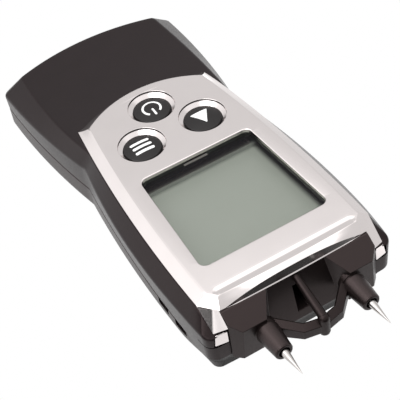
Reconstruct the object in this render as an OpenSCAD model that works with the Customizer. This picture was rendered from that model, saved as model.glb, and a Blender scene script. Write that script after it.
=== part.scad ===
// Pocket moisture meter with two measuring pins, a display and three keys.
// +X is to the right, +Y points at the pins and +Z up: it lies on its flat back.
// The origin is on that back, under the middle of the whole length. Millimetres.

/* [Case] */
// Length of the case from the end of the handle to its front face
case_len = 101.8; // [98:0.2:108]
// Width of the handle at its widest
handle_w = 46.1; // [44:0.1:52]
// Width of the display section at its widest
display_w = 45.6; // [44:0.1:52]
// Radius of the bowed sides in plan
side_r = 193; // [160:1:260]
// Distance from the handle's end to its widest place
handle_wide_at = 6.7; // [4:0.1:12]
// Distance from the case's front to the display section's widest place
display_wide_from_front = 22.1; // [15:0.1:30]
// Radius of the handle's end in plan
end_r = 57; // [48:1:80]
// Radius of the two corners at the handle's end
end_corner_r = 3; // [2:0.1:5]
// Radius of the two corners at the front
front_corner_r = 4; // [3:0.1:5]
// Thickness of the side walls
wall = 1.8; // [1.2:0.1:2.2]
// Thickness of the top of the upper shell
top_t = 2; // [1.4:0.1:2.4]
// Thickness of the floor of the lower shell
floor_t = 1.8; // [1.6:0.1:2.6]
// Height of the joint between the two shells
parting_z = 6.9; // [6:0.1:8]
// How far the handle's sides lean in from the bevel to the joint
side_draft = 0.3; // [0:0.05:0.6]
// How far the display section's sides lean in from the bevel to the joint
display_draft = 1.2; // [0.6:0.1:1.5]
// Radius of the display section's sides at the joint
joint_side_r = 345; // [300:1:420]
// Distance from the case's front to the display section's widest place at the joint
joint_wide_from_front = 17.7; // [14:0.1:22]

/* [Handle and bevels] */
// Width of the bevel along the handle's sides
panel_side = 4.2; // [3.4:0.1:5]
// Distance from the handle's end to the panel's widest place
panel_wide_at = 22.7; // [16:0.1:30]
// Radius of the panel's gentle dip along the handle
panel_r = 245; // [200:1:320]
// Distance from the handle's end to the lowest line of the panel
panel_low_at = 8.7; // [6:0.1:14]
// Depth of that line under the seat of the silver cover
panel_drop = 2.5; // [1.5:0.1:3]
// Width of the bevel at the handle's end
end_bevel = 3.9; // [3:0.1:4.5]
// Radius of the panel's end in plan
panel_end_r = 53; // [45:1:76]
// Radius of the panel's two corners at the handle's end
panel_corner_r = 1.2; // [0.8:0.1:2.5]
// Height of the bevel's lower edge at the handle's end
bevel_end_z = 10.9; // [10:0.1:12]
// Height of the bevel's lower edge at the waist
bevel_waist_z = 14; // [12.5:0.1:15]
// Height of the bevel's lower edge at the front
bevel_front_z = 14.6; // [14.4:0.1:15.2]

/* [Back] */
// Width of the rounding under the handle
handle_foot_in = 1.5; // [0.8:0.1:2.2]
// Width of the bevel under the display section
display_foot_in = 3; // [2:0.1:3.6]
// Height of the rounding under the handle
handle_foot_z = 1.9; // [1:0.1:3]
// Height of the bevel under the display section at the front
display_foot_z = 4.5; // [3.5:0.1:5]
// How far the lower shell's front lip lies behind the case's front
lip_in = 0.6; // [0.2:0.1:1.2]
// Length of each latch notch in the lower shell's sides
notch_len = 4.2; // [3:0.1:5]
// Depth of each latch notch
notch_depth = 0.9; // [0.5:0.1:1.1]
// Height of each latch notch
notch_h = 1.7; // [1:0.1:1.9]
// Distance from the case's front to the middle of the front notch
notch_from_front = 12.8; // [10:0.1:16]
// Distance between the two notches of a side
notch_pitch = 7; // [6:0.1:9]

/* [Silver cover] */
// Height of the silver cover over its seat
cover_h = 1.9; // [1.6:0.05:2.4]
// Width of the case beside the silver cover
silver_side = 2.7; // [2.3:0.1:3]
// Radius of its bowed sides in plan
silver_side_r = 345; // [300:5:420]
// Distance from the case's front to its widest place
silver_wide_from_front = 15.6; // [12:0.1:20]
// Distance from the case's front to its round end on the handle
silver_len = 71.2; // [69:0.1:73]
// Radius of that round end
silver_end_r = 26.4; // [25:0.1:32]
// Width of its bevelled rim along the sides
rim_w = 2.35; // [1.8:0.05:2.6]
// Width of its bevelled rim at the round end
rim_end_w = 4; // [3:0.1:4.5]
// Thickness of its top
silver_skin = 0.8; // [0.6:0.05:1]
// Depth of the shallow scoop across its front
scoop_depth = 0.45; // [0.2:0.05:0.7]
// Distance from the case's front to the back edge of the scoop
scoop_from_front = 6.8; // [6:0.1:7.2]
// Distance from the case's front to the lip over the pins
brow_from_front = 2.35; // [2:0.05:2.8]
// Depth of the lip's edge under the top
brow_drop = 2.1; // [1.8:0.05:2.4]
// Length of the rounded nose behind the lip
nose_len = 2; // [1.4:0.1:2.4]
// Radius of the scoop's ends
scoop_r = 1.6; // [0.8:0.1:2]
// Depth of the foot of its two legs under the top, beside the pins
leg_drop = 4.7; // [4.6:0.1:5]
// How much lower the foot of a leg is at its outer edge
leg_fall = 0.9; // [0.5:0.1:1]
// Distance from the case's front to the top of the legs' slope
leg_from_front = 6.35; // [5.8:0.05:6.6]
// Distance from the case's front to the foot of the legs' outer edge
leg_end_from_front = 1.3; // [1:0.05:1.5]
// Share of the width of a leg by which its face falls back
leg_chamfer = 0.5; // [0.35:0.05:0.6]
// Radius of the foot of a leg in plan
leg_corner_r = 1; // [0.6:0.1:1.5]
// Width of each front corner beside the mouth for the pins
corner_w = 5.75; // [5.3:0.05:6.3]

/* [Display] */
// Length of the window
window_len = 28.6; // [26:0.1:29.5]
// Width of the silver cover beside the window
window_side = 5.25; // [5.2:0.05:6.5]
// How much narrower the window is at the handle side
window_taper = 2.9; // [1.7:0.1:4.5]
// Distance from the case's front to the window
window_from_front = 12.5; // [11.8:0.1:13.5]
// Radius of the window's corners
window_corner_r = 1.6; // [0.8:0.1:3]
// How far the lens reaches past the window on each side
lens_margin = 1.1; // [0.8:0.05:1.2]
// Thickness of the clear lens
lens_t = 1.2; // [1:0.1:1.6]
// Thickness of each of the display's two glass plates
glass_t = 0.9; // [0.7:0.1:1.1]
// Gap between the display's glass and the board
glass_gap = 1; // [0.8:0.1:1.4]
// Width of each rubber connector strip
strip_w = 1.8; // [1.4:0.1:2.2]
// Width of the black frame's edge round the lens
frame_edge = 0.85; // [0.6:0.05:1]

/* [Keys] */
// Diameter of a key's cap
key_d = 8.4; // [7.6:0.1:8.8]
// Diameter of the dished ring round a key
ring_d = 10.7; // [10:0.1:11.2]
// Depth of the dished ring
ring_depth = 1; // [0.8:0.05:1.1]
// Distance between the two lower keys
key_spread = 15.3; // [15:0.1:16.5]
// Distance from the window to the lower keys
key_from_window = 9.7; // [9:0.1:10.5]
// Distance from the lower keys to the power key
power_pitch = 9.7; // [9.4:0.1:10.5]
// Travel of a key
key_travel = 0.5; // [0.3:0.05:0.6]
// Gap round a key's cap
key_gap = 0.15; // [0.1:0.01:0.25]
// Width of the flange that keeps a key in
flange_w = 1; // [0.7:0.05:1.1]
// Thickness of that flange
flange_t = 0.75; // [0.6:0.05:0.9]
// Height of the dome on a key
dome_h = 0.5; // [0.2:0.05:0.8]
// How far a key's dome lies under the silver cover's top
key_sink = 0.45; // [0:0.05:0.5]

/* [Board] */
// Thickness of the circuit board
board_t = 1.2; // [1:0.1:1.6]
// Width of the case beside the board
board_side = 7.3; // [6.8:0.1:8.3]
// Distance from the case's front to the board
board_from_front = 6.6; // [6.4:0.1:7.5]
// How far the board reaches behind the power key
board_tail = 5.8; // [5:0.1:7]
// Gap between the cells and the board
board_gap = 0.3; // [0.2:0.05:0.6]
// Side of a tactile switch
switch_w = 6; // [5:0.1:6.4]
// Height of a tactile switch's body
switch_h = 2.2; // [1.8:0.1:2.5]
// Diameter of a switch's plunger
plunger_d = 3.2; // [2.5:0.1:3.5]
// Gap round a switch's plunger
plunger_gap = 0.1; // [0.05:0.01:0.1]
// Height of a pressed plunger's foot over the board
plunger_lift = 0.4; // [0.3:0.05:0.6]
// Side of the controller chip
chip_w = 10; // [7:0.5:12]
// Height of the controller chip
chip_h = 1; // [0.8:0.1:1.4]

/* [Cells] */
// Diameter of a size AAA cell
cell_d = 10.5; // [10.1:0.1:10.6]
// Length of a cell with its positive nub
cell_len = 44.5; // [43.5:0.1:44.6]
// Diameter of the positive nub
nub_d = 3.8; // [3:0.1:4.2]
// Height of the positive nub
nub_h = 0.8; // [0.6:0.1:1.2]
// Distance between the two cells' axes
cell_pitch = 11.2; // [11:0.05:11.5]
// Gap between the floor and the cells
cell_lift = 0.3; // [0.2:0.05:0.6]
// Distance from the handle's end to the rear contact
cell_from_end = 8.2; // [7.5:0.1:10]
// Length of a pressed contact spring
spring_len = 2.6; // [2:0.1:3.2]
// Diameter of the spring's wire
spring_wire = 0.5; // [0.4:0.05:0.6]
// Diameter of the spring's widest turn
spring_d = 7; // [5.5:0.1:8]
// Number of turns of a spring
spring_turns = 3; // [2:1:3]
// Share of its radius that a spring loses towards its tip
spring_taper = 0.45; // [0.35:0.05:0.6]
// Thickness of the contact plates
contact_t = 0.4; // [0.3:0.05:0.6]
// Rim of a contact plate round its spring
plate_rim = 0.6; // [0.3:0.1:0.8]
// Width of a contact plate's tab
tab_w = 2.4; // [1.6:0.1:3]

/* [Battery cover] */
// Thickness of the battery cover
door_t = 1.55; // [1.3:0.05:1.6]
// Gap round the battery cover
door_gap = 0.15; // [0.1:0.05:0.2]
// How far its rails reach under the case on each side
rail_w = 0.95; // [0.7:0.05:1.1]
// Thickness of its rails
rail_t = 0.65; // [0.5:0.05:0.75]
// Thickness of the walls beside the cells
bay_wall = 1.1; // [0.8:0.1:1.3]
// Gap between the cells and those walls
bay_gap = 0.75; // [0.5:0.05:0.8]
// Number of grip grooves
grip_count = 7; // [3:1:9]
// Distance between the grip grooves
grip_pitch = 1.6; // [1.4:0.1:2]
// Width of a grip groove
grip_w = 0.8; // [0.5:0.1:1]
// Depth of a grip groove
grip_depth = 0.5; // [0.3:0.05:0.7]
// Length of a grip groove
grip_len = 12; // [8:0.5:16]

/* [Pins] */
// Distance from the pin block's side to the axis of its pin
pin_side = 7; // [6.6:0.05:7.4]
// Height of the pins over the back
pin_z = 11.75; // [11:0.05:12.2]
// Diameter of a pin where it leaves its sleeve
pin_d = 1.65; // [1.4:0.05:2]
// Diameter of a pin inside its sleeve
pin_shank_d = 2.4; // [2.1:0.1:2.6]
// Distance from the case's front to the pins' points
pin_reach = 14.4; // [12:0.1:16]
// Length of a pin outside its sleeve
pin_out = 6.6; // [5:0.1:8]
// Radius of a pin's point
pin_point_r = 0.06; // [0.04:0.01:0.15]
// Swell of a pin's sides beyond a straight taper
pin_swell = 0.12; // [0:0.02:0.3]
// Length of the leaf that joins a pin to the board
leaf_len = 3; // [2:0.1:4]
// Diameter of a sleeve at its root
sleeve_root_d = 5; // [4.6:0.1:5.6]
// Diameter of a sleeve at its end
sleeve_end_d = 3.7; // [3.4:0.1:4.2]
// Depth of the hollow in a sleeve's end
sleeve_cup = 0.6; // [0.3:0.05:1]
// Wall of the hollow in a sleeve's end
sleeve_rim = 0.55; // [0.4:0.05:0.7]

/* [Pin block] */
// How far the block's two bosses stand out of the case's front
boss_out = 2; // [1.5:0.1:2.5]
// Distance from the case's front to the back of the block
block_back = 5.6; // [5.2:0.1:5.8]
// Width of the chamfer at each boss's outer corner
boss_chamfer = 2.05; // [1.6:0.05:3]
// Height of the bosses' front edge over the back
boss_edge_z = 14.85; // [14:0.05:15.5]
// Lean of a boss's front face from top to bottom
boss_lean = 0.75; // [0:0.05:1.2]
// Width of a boss beside the hollow at the front
hollow_front_side = 7.35; // [7:0.05:7.8]
// Width of a boss beside the hollow under the lip
hollow_mid_side = 10.3; // [9.6:0.05:10.8]
// Width of a boss beside the hollow at its back
hollow_back_side = 10.95; // [10.85:0.05:11.5]
// Distance from the case's front to the top of the hollow's back wall
hollow_back = 2.6; // [2.4:0.1:3]
// How far that wall leans out towards its foot
hollow_lean = 2.4; // [1.8:0.1:2.5]
// Width of the slot in the back wall
slot_w = 2.6; // [2:0.1:4]
// Height of the slot in the back wall
slot_h = 6.5; // [4:0.1:7]
// How far the guard bow stands out of the case's front
bow_out = 7.7; // [6.5:0.1:8.5]
// Width between the guard bow's two bends
bow_bend_w = 8.1; // [7:0.1:9]
// How far the bends lie behind the bow's front
bow_bend_back = 0.9; // [0.5:0.1:1.5]
// Width of the bow's bar
bow_w = 1.9; // [1.4:0.1:2.4]
// Height of the bow's bar
bow_h = 1.9; // [1.4:0.1:2.4]
// Height of the bow's middle over the back
bow_z = 10.9; // [10.4:0.1:11.4]
// How far the bow dips from the bosses to its middle
bow_dip = 0.8; // [0.4:0.1:1.4]
// Diameter of the bow's middle post
post_d = 2.4; // [2:0.1:3]
// Length of the post from the bow's middle line down
post_down = 2.6; // [1.6:0.1:3]
// Length of the post from the bow's middle line up
post_up = 2.2; // [1.6:0.1:2.6]
// Diameter of the slanted rib at its foot
rib_d = 1.9; // [1.5:0.1:2.2]
// Diameter of the slanted rib at its top
rib_top_d = 1.2; // [0.9:0.1:1.5]

/* [Corner trims] */
// Width of a silver corner trim
trim_w = 2.9; // [2.4:0.1:3.2]
// Height of a corner trim
trim_h = 3.7; // [3:0.1:4]
// Depth of a corner trim
trim_t = 1; // [0.8:0.05:1.3]
// Gap over a corner trim
trim_gap = 0.3; // [0.1:0.05:0.4]

/* [Screws] */
// Diameter of a case screw's thread
screw_d = 2.4; // [2:0.1:2.6]
// Diameter of a case screw's head
head_d = 4; // [3.6:0.1:4.2]
// Height of a case screw's head
head_h = 1.4; // [1:0.1:1.6]
// Height of the seat under a case screw's head
head_seat_z = 2.6; // [2.2:0.1:3]
// Length of a case screw's thread
screw_len = 9; // [7:0.5:10]
// Wall of the screw bosses
boss_wall = 1.2; // [1:0.1:1.4]
// Gap round a case screw in the lower shell
screw_gap = 0.2; // [0.1:0.05:0.3]
// Distance from the case's side to the front case screws
front_screw_side = 8.6; // [8.3:0.1:8.8]
// Distance from the case's front to the front case screws
front_screw_back = 8.6; // [8.4:0.1:8.8]
// Width of the floor between the battery cover's rails and the rear case screws
rear_screw_side = 0.85; // [0.75:0.05:1.05]
// Distance from the window to the rear case screws
rear_screw_from_window = 4.3; // [4.2:0.1:4.6]
// Diameter of a board screw's thread
board_screw_d = 1.6; // [1.4:0.1:1.8]
// Diameter of a board screw's head
board_head_d = 3; // [2.6:0.1:3.1]
// Height of a board screw's head
board_head_h = 0.8; // [0.6:0.1:0.9]
// Distance from the board's edge to the rear board screws
board_screw_side = 2.3; // [2:0.1:2.5]

/* [Hidden] */
$fn = 48;

// Overlap of cutting shapes past the faces they cut
over = 1;
// Gap between pieces that only lie side by side
slack = 0.05;
// Radius of the nearly straight front edge in plan
front_r = 400;

// Widths across the case
panel_w = handle_w - 2 * panel_side;
silver_w = display_w - 2 * silver_side;
mouth_w = display_w - 2 * corner_w;
window_front_w = silver_w - 2 * window_side;
window_back_w = window_front_w - window_taper;
board_w = display_w - 2 * board_side;
boss_front_w = mouth_w - 2 * boss_chamfer;
pin_spread = mouth_w - 2 * pin_side;
hollow_front_w = mouth_w - 2 * hollow_front_side;
hollow_mid_w = mouth_w - 2 * hollow_mid_side;
hollow_back_w = mouth_w - 2 * hollow_back_side;
bay_w = cell_pitch + cell_d + 2 * bay_gap;

// Places along the length
y_end = -(case_len + pin_reach) / 2;
y_front = y_end + case_len;
y_tip = y_front + pin_reach;
y_window_front = y_front - window_from_front;
y_window_back = y_window_front - window_len;
y_window_mid = (y_window_front + y_window_back) / 2;
y_keys = y_window_back - key_from_window;
y_power = y_keys - power_pitch;
y_block_back = y_front - block_back;
y_brow = y_front - brow_from_front;
y_nose = y_brow - nose_len;
y_scoop = y_front - scoop_from_front;
y_leg = y_front - leg_from_front;
y_leg_end = y_front - leg_end_from_front;
y_silver_end = y_front - silver_len;
y_boss = y_front + boss_out;
y_hollow = y_front - hollow_back;
y_board_front = y_front - board_from_front;
y_board_back = y_power - board_tail;
y_cell_back = y_end + cell_from_end;
y_cell_front = y_cell_back + cell_len + spring_len;
y_screw_front = y_front - front_screw_back;
y_screw_rear = y_window_back - rear_screw_from_window;

// Heights, stacked from the back up
cell_z = floor_t + cell_lift + cell_d / 2;
board_z = floor_t + cell_lift + cell_d + board_gap;
board_top = board_z + board_t;
glass_z = board_top + glass_gap;
lens_z = glass_z + 2 * glass_t;
seat_z = lens_z + lens_t;
top_z = seat_z + cover_h;
skin_z = top_z - silver_skin;
brow_z = top_z - brow_drop;
leg_z = top_z - leg_drop;
leg_side_z = leg_z - leg_fall;
scoop_z = top_z - scoop_depth;
key_foot_z = seat_z - key_travel;
plunger_foot_z = board_top + key_travel + plunger_lift;
panel_low_z = seat_z - panel_drop;
trim_top_z = leg_z - trim_gap;

// Numbers of steps along each stretch of an outline
end_steps = 6;
corner_steps = 5;
handle_steps = 7;
display_steps = 10;
front_steps = 2;

// The two meeting points of two circles
function circles_cross(a, ra, b, rb) =
    let (d = norm(b - a))
    let (u = (b - a) / d)
    let (along = (d * d + ra * ra - rb * rb) / (2 * d))
    let (across = sqrt(ra * ra - along * along))
    [for (s = [-1, 1]) a + along * u + s * across * [u.y, -u.x]];

// The meeting point that lies further to the right
function circles_meet(a, ra, b, rb) =
    let (both = circles_cross(a, ra, b, rb))
    both[0].x > both[1].x ? both[0] : both[1];

// The meeting point that lies nearer to the handle's end
function circles_meet_low(a, ra, b, rb) =
    let (both = circles_cross(a, ra, b, rb))
    both[0].y < both[1].y ? both[0] : both[1];

// Points after p up to q on the arc round c
function arc_on(c, p, q, steps) =
    let (r = norm(p - c))
    let (from = atan2(p.y - c.y, p.x - c.x))
    let (to = atan2(q.y - c.y, q.x - c.x))
    [for (i = [1:steps]) c + r * [cos(from + (to - from) * i / steps), sin(from + (to - from) * i / steps)]];

// Where a circle round c with radius r is touched by a circle inside it, round f
function touch(c, r, f) = c + (f - c) * r / norm(f - c);

// Right half of a plan outline, from the middle of the handle's end to the middle of the front:
// end = [y, radius, corner radius], handle and display = [half width, y of the widest place, radius],
// front = [y, corner radius]
function half_outline(end, handle, display, front) =
    let (end_c = [0, end[0] + end[1]])
    let (handle_c = [handle[0] - handle[2], handle[1]])
    let (display_c = [display[0] - display[2], display[1]])
    let (front_c = [0, front[0] - front_r])
    let (end_f = circles_meet(end_c, end[1] - end[2], handle_c, handle[2] - end[2]))
    let (front_f = circles_meet(front_c, front_r - front[1], display_c, display[2] - front[1]))
    let (end_a = touch(end_c, end[1], end_f))
    let (end_b = touch(handle_c, handle[2], end_f))
    let (waist = circles_meet(handle_c, handle[2], display_c, display[2]))
    let (front_a = touch(display_c, display[2], front_f))
    let (front_b = touch(front_c, front_r, front_f))
    concat(
        [[0, end[0]]],
        arc_on(end_c, [0, end[0]], end_a, end_steps),
        arc_on(end_f, end_a, end_b, corner_steps),
        arc_on(handle_c, end_b, waist, handle_steps),
        arc_on(display_c, waist, front_a, display_steps),
        arc_on(front_f, front_a, front_b, corner_steps),
        arc_on(front_c, front_b, [0, front[0]], front_steps)
    );

// Half outline of the case, drawn in by the given distances at the end, the sides and the front
function case_half(end_in, handle_in, display_in, front_in) = half_outline(
    [y_end + end_in, end_r, end_corner_r],
    [handle_w / 2 - handle_in, y_end + handle_wide_at, side_r],
    [display_w / 2 - display_in, y_front - display_wide_from_front, side_r],
    [y_front - front_in, front_corner_r]
);

// Half outline of the case at the joint of the shells, drawn in by the given distances
function joint_half(all_in, front_in) = half_outline(
    [y_end + side_draft + all_in, end_r, end_corner_r],
    [handle_w / 2 - side_draft - all_in, y_end + handle_wide_at, side_r],
    [display_w / 2 - display_draft - all_in, y_front - joint_wide_from_front, joint_side_r],
    [y_front - front_in, front_corner_r]
);

// Half outline of the case's top, drawn in by the given distances
function top_half(all_in, front_in) = half_outline(
    [y_end + end_bevel + all_in, panel_end_r, panel_corner_r],
    [panel_w / 2 - all_in, y_end + panel_wide_at, side_r],
    [silver_w / 2 - all_in, y_front - silver_wide_from_front, silver_side_r],
    [y_front - front_in, front_corner_r]
);

// Place of the waist on the outside of the case
y_waist = circles_meet(
    [handle_w / 2 - side_r, y_end + handle_wide_at], side_r,
    [display_w / 2 - side_r, y_front - display_wide_from_front], side_r
).y;

// Height of the bevel's lower edge along the case
function bevel_z(y) = lookup(y, [[y_end, bevel_end_z], [y_waist, bevel_waist_z], [y_front, bevel_front_z]]);

// Height of the handle's panel, a shallow arc that runs up to the silver cover's seat
function panel_z(y) =
    let (run = max(0, y - y_end - panel_low_at))
    min(seat_z, panel_low_z + panel_r - sqrt(panel_r * panel_r - run * run));

// Height of the case's top, which slopes down behind the legs
function case_top_z(y) = min(panel_z(y), lookup(y, [[y_leg, seat_z], [y_leg_end, leg_side_z]]));

// Height of the lower edge of the lower shell's side
function foot_z(y) = lookup(y, [[y_waist, handle_foot_z], [y_front, display_foot_z]]);

// Half outline lifted to one height
function level(half, z) = [for (p = half) [p.x, p.y, z]];

// Closed ring from a half outline in space and its mirror image
function ring(half) = concat(half, [for (i = [len(half) - 2:-1:1]) [-half[i].x, half[i].y, half[i].z]]);

// Solid through a stack of half outlines that have as many points, from the lowest up
module loft(halves) {
    m = len(halves[0]) - 1;
    n = 2 * m;
    last = (len(halves) - 1) * n;
    sides = [
        for (k = [0:len(halves) - 2], i = [0:n - 1])
            let (a = k * n + i, b = k * n + (i + 1) % n)
            each [[a, a + n, b + n], [a, b + n, b]]
    ];
    floor_faces = [
        for (i = [0:m - 1])
            let (p = (n - i) % n, q = n - i - 1)
            each i == 0 ? [[0, 1, q]] : i == m - 1 ? [[i, m, p]] : [[i, i + 1, q], [i, q, p]]
    ];
    top_faces = [for (f = floor_faces) [f[0] + last, f[2] + last, f[1] + last]];
    polyhedron([for (h = halves) each ring(h)], concat(sides, floor_faces, top_faces), convexity = 8);
}

// Outline with its corners rounded, from points given anticlockwise
function rounded(points, r) =
    [for (i = [0:len(points) - 1])
        let (p = points[i])
        let (a = points[(i + len(points) - 1) % len(points)] - p)
        let (b = points[(i + 1) % len(points)] - p)
        let (u = a / norm(a))
        let (v = b / norm(b))
        let (half = acos(u * v) / 2)
        let (c = p + (u + v) / norm(u + v) * r / sin(half))
        let (s = p + u * r / tan(half))
        let (t = p + v * r / tan(half))
        let (from = atan2(s.y - c.y, s.x - c.x))
        let (turn = 180 - 2 * half)
        for (k = [0:corner_steps])
            c + r * [cos(from + turn * k / corner_steps), sin(from + turn * k / corner_steps)]
    ];

// Rounded rectangle about the Y axis
function plate(w, y0, y1, r) = rounded([[-w / 2, y0], [w / 2, y0], [w / 2, y1], [-w / 2, y1]], r);

// Window outline, widened on every side
function window(grow) = rounded([
    [-window_back_w / 2 - grow, y_window_back - grow],
    [window_back_w / 2 + grow, y_window_back - grow],
    [window_front_w / 2 + grow, y_window_front + grow],
    [-window_front_w / 2 - grow, y_window_front + grow]
], window_corner_r + grow);

lens_w = window_front_w + 2 * lens_margin;
lens_y0 = y_window_back - lens_margin;
lens_y1 = y_window_front + lens_margin;

// Prism over a plan outline between two heights
module slab(points, z0, z1) {
    translate([0, 0, z0])
        linear_extrude(z1 - z0)
            polygon(points);
}

// Block between two opposite corners
module block(low, high) {
    translate(low)
        cube(high - low);
}

// Round post between two heights
module post(at, d, z0, z1) {
    translate([at.x, at.y, z0])
        cylinder(d = d, h = z1 - z0);
}

// Round bar along +Y between two places
module bar_y(x, z, d0, d1, y0, y1) {
    translate([x, y0, z])
        rotate([-90, 0, 0])
            cylinder(d1 = d0, d2 = d1, h = y1 - y0);
}

// Plan places that repeat
key_places = [[0, y_power], [-key_spread / 2, y_keys], [key_spread / 2, y_keys]];
front_screw_x = display_w / 2 - front_screw_side;
rear_screw_x = bay_w / 2 + rail_w + rear_screw_side + screw_gap + head_d / 2;
case_screw_places = [
    for (s = [-1, 1])
        each [[s * front_screw_x, y_screw_front], [s * rear_screw_x, y_screw_rear]]
];
board_screw_x = board_w / 2 - board_screw_side;
board_screw_places = [
    [-board_screw_x, (y_keys + y_power) / 2],
    [board_screw_x, (y_keys + y_power) / 2],
    [0, y_screw_front]
];
boss_d = screw_d + 2 * boss_wall;
board_boss_d = board_screw_d + 2 * boss_wall;
bay_y1 = y_cell_front + contact_t;
door_y0 = y_end + handle_foot_in;
door_y1 = bay_y1 - contact_t;
rail_z = floor_t - door_gap - rail_t;
silver_gap = 0.5;

// Lower shell of the case, open above, with the battery bay in its floor
module lower_shell() {
    outside = [
        level(case_half(handle_foot_in, handle_foot_in, display_foot_in, lip_in + display_foot_in), 0),
        [for (p = joint_half(0, lip_in)) [p.x, p.y, foot_z(p.y)]],
        level(joint_half(0, lip_in), parting_z)
    ];
    inside = [
        level(case_half(wall + handle_foot_in, wall + handle_foot_in, wall + display_foot_in,
                        wall + lip_in + display_foot_in), floor_t),
        [for (p = joint_half(wall, wall + lip_in)) [p.x, p.y, foot_z(p.y) + floor_t / 2]],
        level(joint_half(wall, wall + lip_in), parting_z + over)
    ];
    bay_y0 = y_cell_back - contact_t - bay_wall;
    color("#2b2728")
        difference() {
            union() {
                difference() {
                    loft(outside);
                    loft(inside);
                }
                for (s = [-1, 1])
                    block([s * (bay_w + bay_wall) / 2 - bay_wall / 2, bay_y0, floor_t - slack],
                          [s * (bay_w + bay_wall) / 2 + bay_wall / 2, bay_y1 + bay_wall, parting_z]);
                for (y = [bay_y0, bay_y1])
                    block([-bay_w / 2 - slack, y, floor_t - slack],
                          [bay_w / 2 + slack, y + bay_wall, parting_z]);
                intersection() {
                    union()
                        for (p = case_screw_places)
                            post(p, head_d + 2 * boss_wall, floor_t - slack, parting_z);
                    loft(outside);
                }
            }
            block([-bay_w / 2, y_end - over, -over], [bay_w / 2, door_y1 + door_gap, floor_t]);
            block([-bay_w / 2 - rail_w, y_end - over, rail_z - door_gap],
                  [bay_w / 2 + rail_w, door_y1 + door_gap, floor_t]);
            for (p = case_screw_places) {
                post(p, head_d + 2 * screw_gap, -over, head_seat_z);
                post(p, screw_d + 2 * screw_gap, 0, parting_z + over);
            }
            for (s = [-1, 1], i = [0, 1])
                notch(s, y_front - notch_from_front - i * notch_pitch);
        }
}

// Half width of the lower shell's side at a place in the display section
function side_x(y) =
    let (run = y - (y_front - joint_wide_from_front))
    display_w / 2 - display_draft - joint_side_r + sqrt(joint_side_r * joint_side_r - run * run);

// Pocket in the side under the joint, where a pushed-on cap would latch
module notch(s, y) {
    x = side_x(y);
    block([s > 0 ? x - notch_depth : -x - over, y - notch_len / 2, parting_z - notch_h - slack],
          [s > 0 ? x + over : -x + notch_depth, y + notch_len / 2, parting_z - slack]);
}

// Upper shell of the case: the handle's panel, the bevelled sides and the seat of the silver cover
module upper_shell() {
    outside = [
        level(joint_half(0, 0), parting_z),
        [for (p = case_half(0, 0, 0, 0)) [p.x, p.y, bevel_z(p.y)]],
        [for (p = top_half(0, trim_t)) [p.x, p.y, case_top_z(p.y)]]
    ];
    inside = [
        level(joint_half(wall, block_back), parting_z - over),
        [for (p = case_half(wall, wall, wall, block_back)) [p.x, p.y, bevel_z(p.y) - wall / 2]],
        [for (p = top_half(wall / 2, block_back)) [p.x, p.y, panel_z(p.y) - top_t]]
    ];
    mouth = mouth_w / 2;
    color("#332d2e")
        difference() {
            union() {
                difference() {
                    loft(outside);
                    loft(inside);
                }
                for (p = case_screw_places)
                    post(p, boss_d, parting_z, seat_z - top_t + slack);
                for (p = board_screw_places)
                    post(p, board_boss_d, board_top, seat_z - top_t + slack);
            }
            block([-mouth, y_block_back - contact_t - slack, parting_z - over],
                  [mouth, y_front + over, top_z]);
            slab(plate(lens_w + 2 * slack, lens_y0 - slack, lens_y1 + slack, window_corner_r),
                 seat_z - top_t - over, seat_z + over);
            for (p = key_places)
                post(p, key_d + 2 * flange_w + 4 * key_gap, seat_z - top_t - over, seat_z + over);
            for (p = case_screw_places)
                post(p, screw_d, parting_z - over, head_seat_z + screw_len + slack);
            for (p = board_screw_places)
                post(p, board_screw_d, board_top - over, seat_z - top_t);
            for (s = [-1, 1])
                slab(trim_outline(s, slack), trim_top_z - trim_h - slack, leg_z + over);
        }
}

// Front corner of the case as a circle: [centre x, centre y, radius]
corner_f = circles_meet(
    [0, y_front - front_r], front_r - front_corner_r,
    [display_w / 2 - side_r, y_front - display_wide_from_front], side_r - front_corner_r
);

// Front edge of the case at a distance from the middle
function front_y(x) =
    let (run = max(0, x - corner_f.x))
    corner_f.y + sqrt(front_corner_r * front_corner_r - run * run);

// Plan outline of a corner trim on one side, grown by a gap
function trim_outline(s, gap) =
    let (x0 = mouth_w / 2 - gap)
    let (x1 = mouth_w / 2 + trim_w + gap)
    let (out = [for (i = [0:corner_steps])
        let (x = x0 + (x1 - x0) * i / corner_steps)
        [s * x, front_y(x) + (gap > 0 ? over : 0)]])
    concat(out, [[s * x1, front_y(x1) - trim_t - gap], [s * x0, y_front - trim_t - gap]]);

// Silver blocks under the legs of the silver cover, with tops that follow the feet of the legs
module corner_trims() {
    low = trim_top_z - trim_h;
    color("#d8d2d0")
        intersection() {
            for (s = [-1, 1])
                slab(trim_outline(s, 0), low, trim_top_z);
            rotate([90, 0, 90])
                translate([0, 0, -display_w / 2])
                    linear_extrude(display_w)
                        polygon([[y_brow, low], [y_front, low], [y_front, trim_top_z],
                                 [y_leg_end, leg_side_z - trim_gap], [y_brow, leg_side_z - trim_gap]]);
        }
}

// Half outline of the silver cover: side inset, inset of its round end, and the y of its front
function silver_half(side_in, end_in, front, corner) =
    let (end_c = [0, y_silver_end + silver_end_r])
    let (side_c = [silver_w / 2 - side_in - silver_side_r, y_front - silver_wide_from_front])
    let (front_c = [0, front - front_r])
    let (tip = [0, y_silver_end + end_in])
    let (back = circles_meet_low(end_c, silver_end_r - end_in, side_c, silver_side_r))
    let (front_f = circles_meet(front_c, front_r - corner, side_c, silver_side_r - corner))
    let (front_a = touch(side_c, silver_side_r, front_f))
    let (front_b = touch(front_c, front_r, front_f))
    concat(
        [tip],
        arc_on(end_c, tip, back, end_steps + handle_steps),
        arc_on(side_c, back, front_a, display_steps + handle_steps),
        arc_on(front_f, front_a, front_b, corner_steps),
        arc_on(front_c, front_b, [0, front], front_steps)
    );

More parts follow.
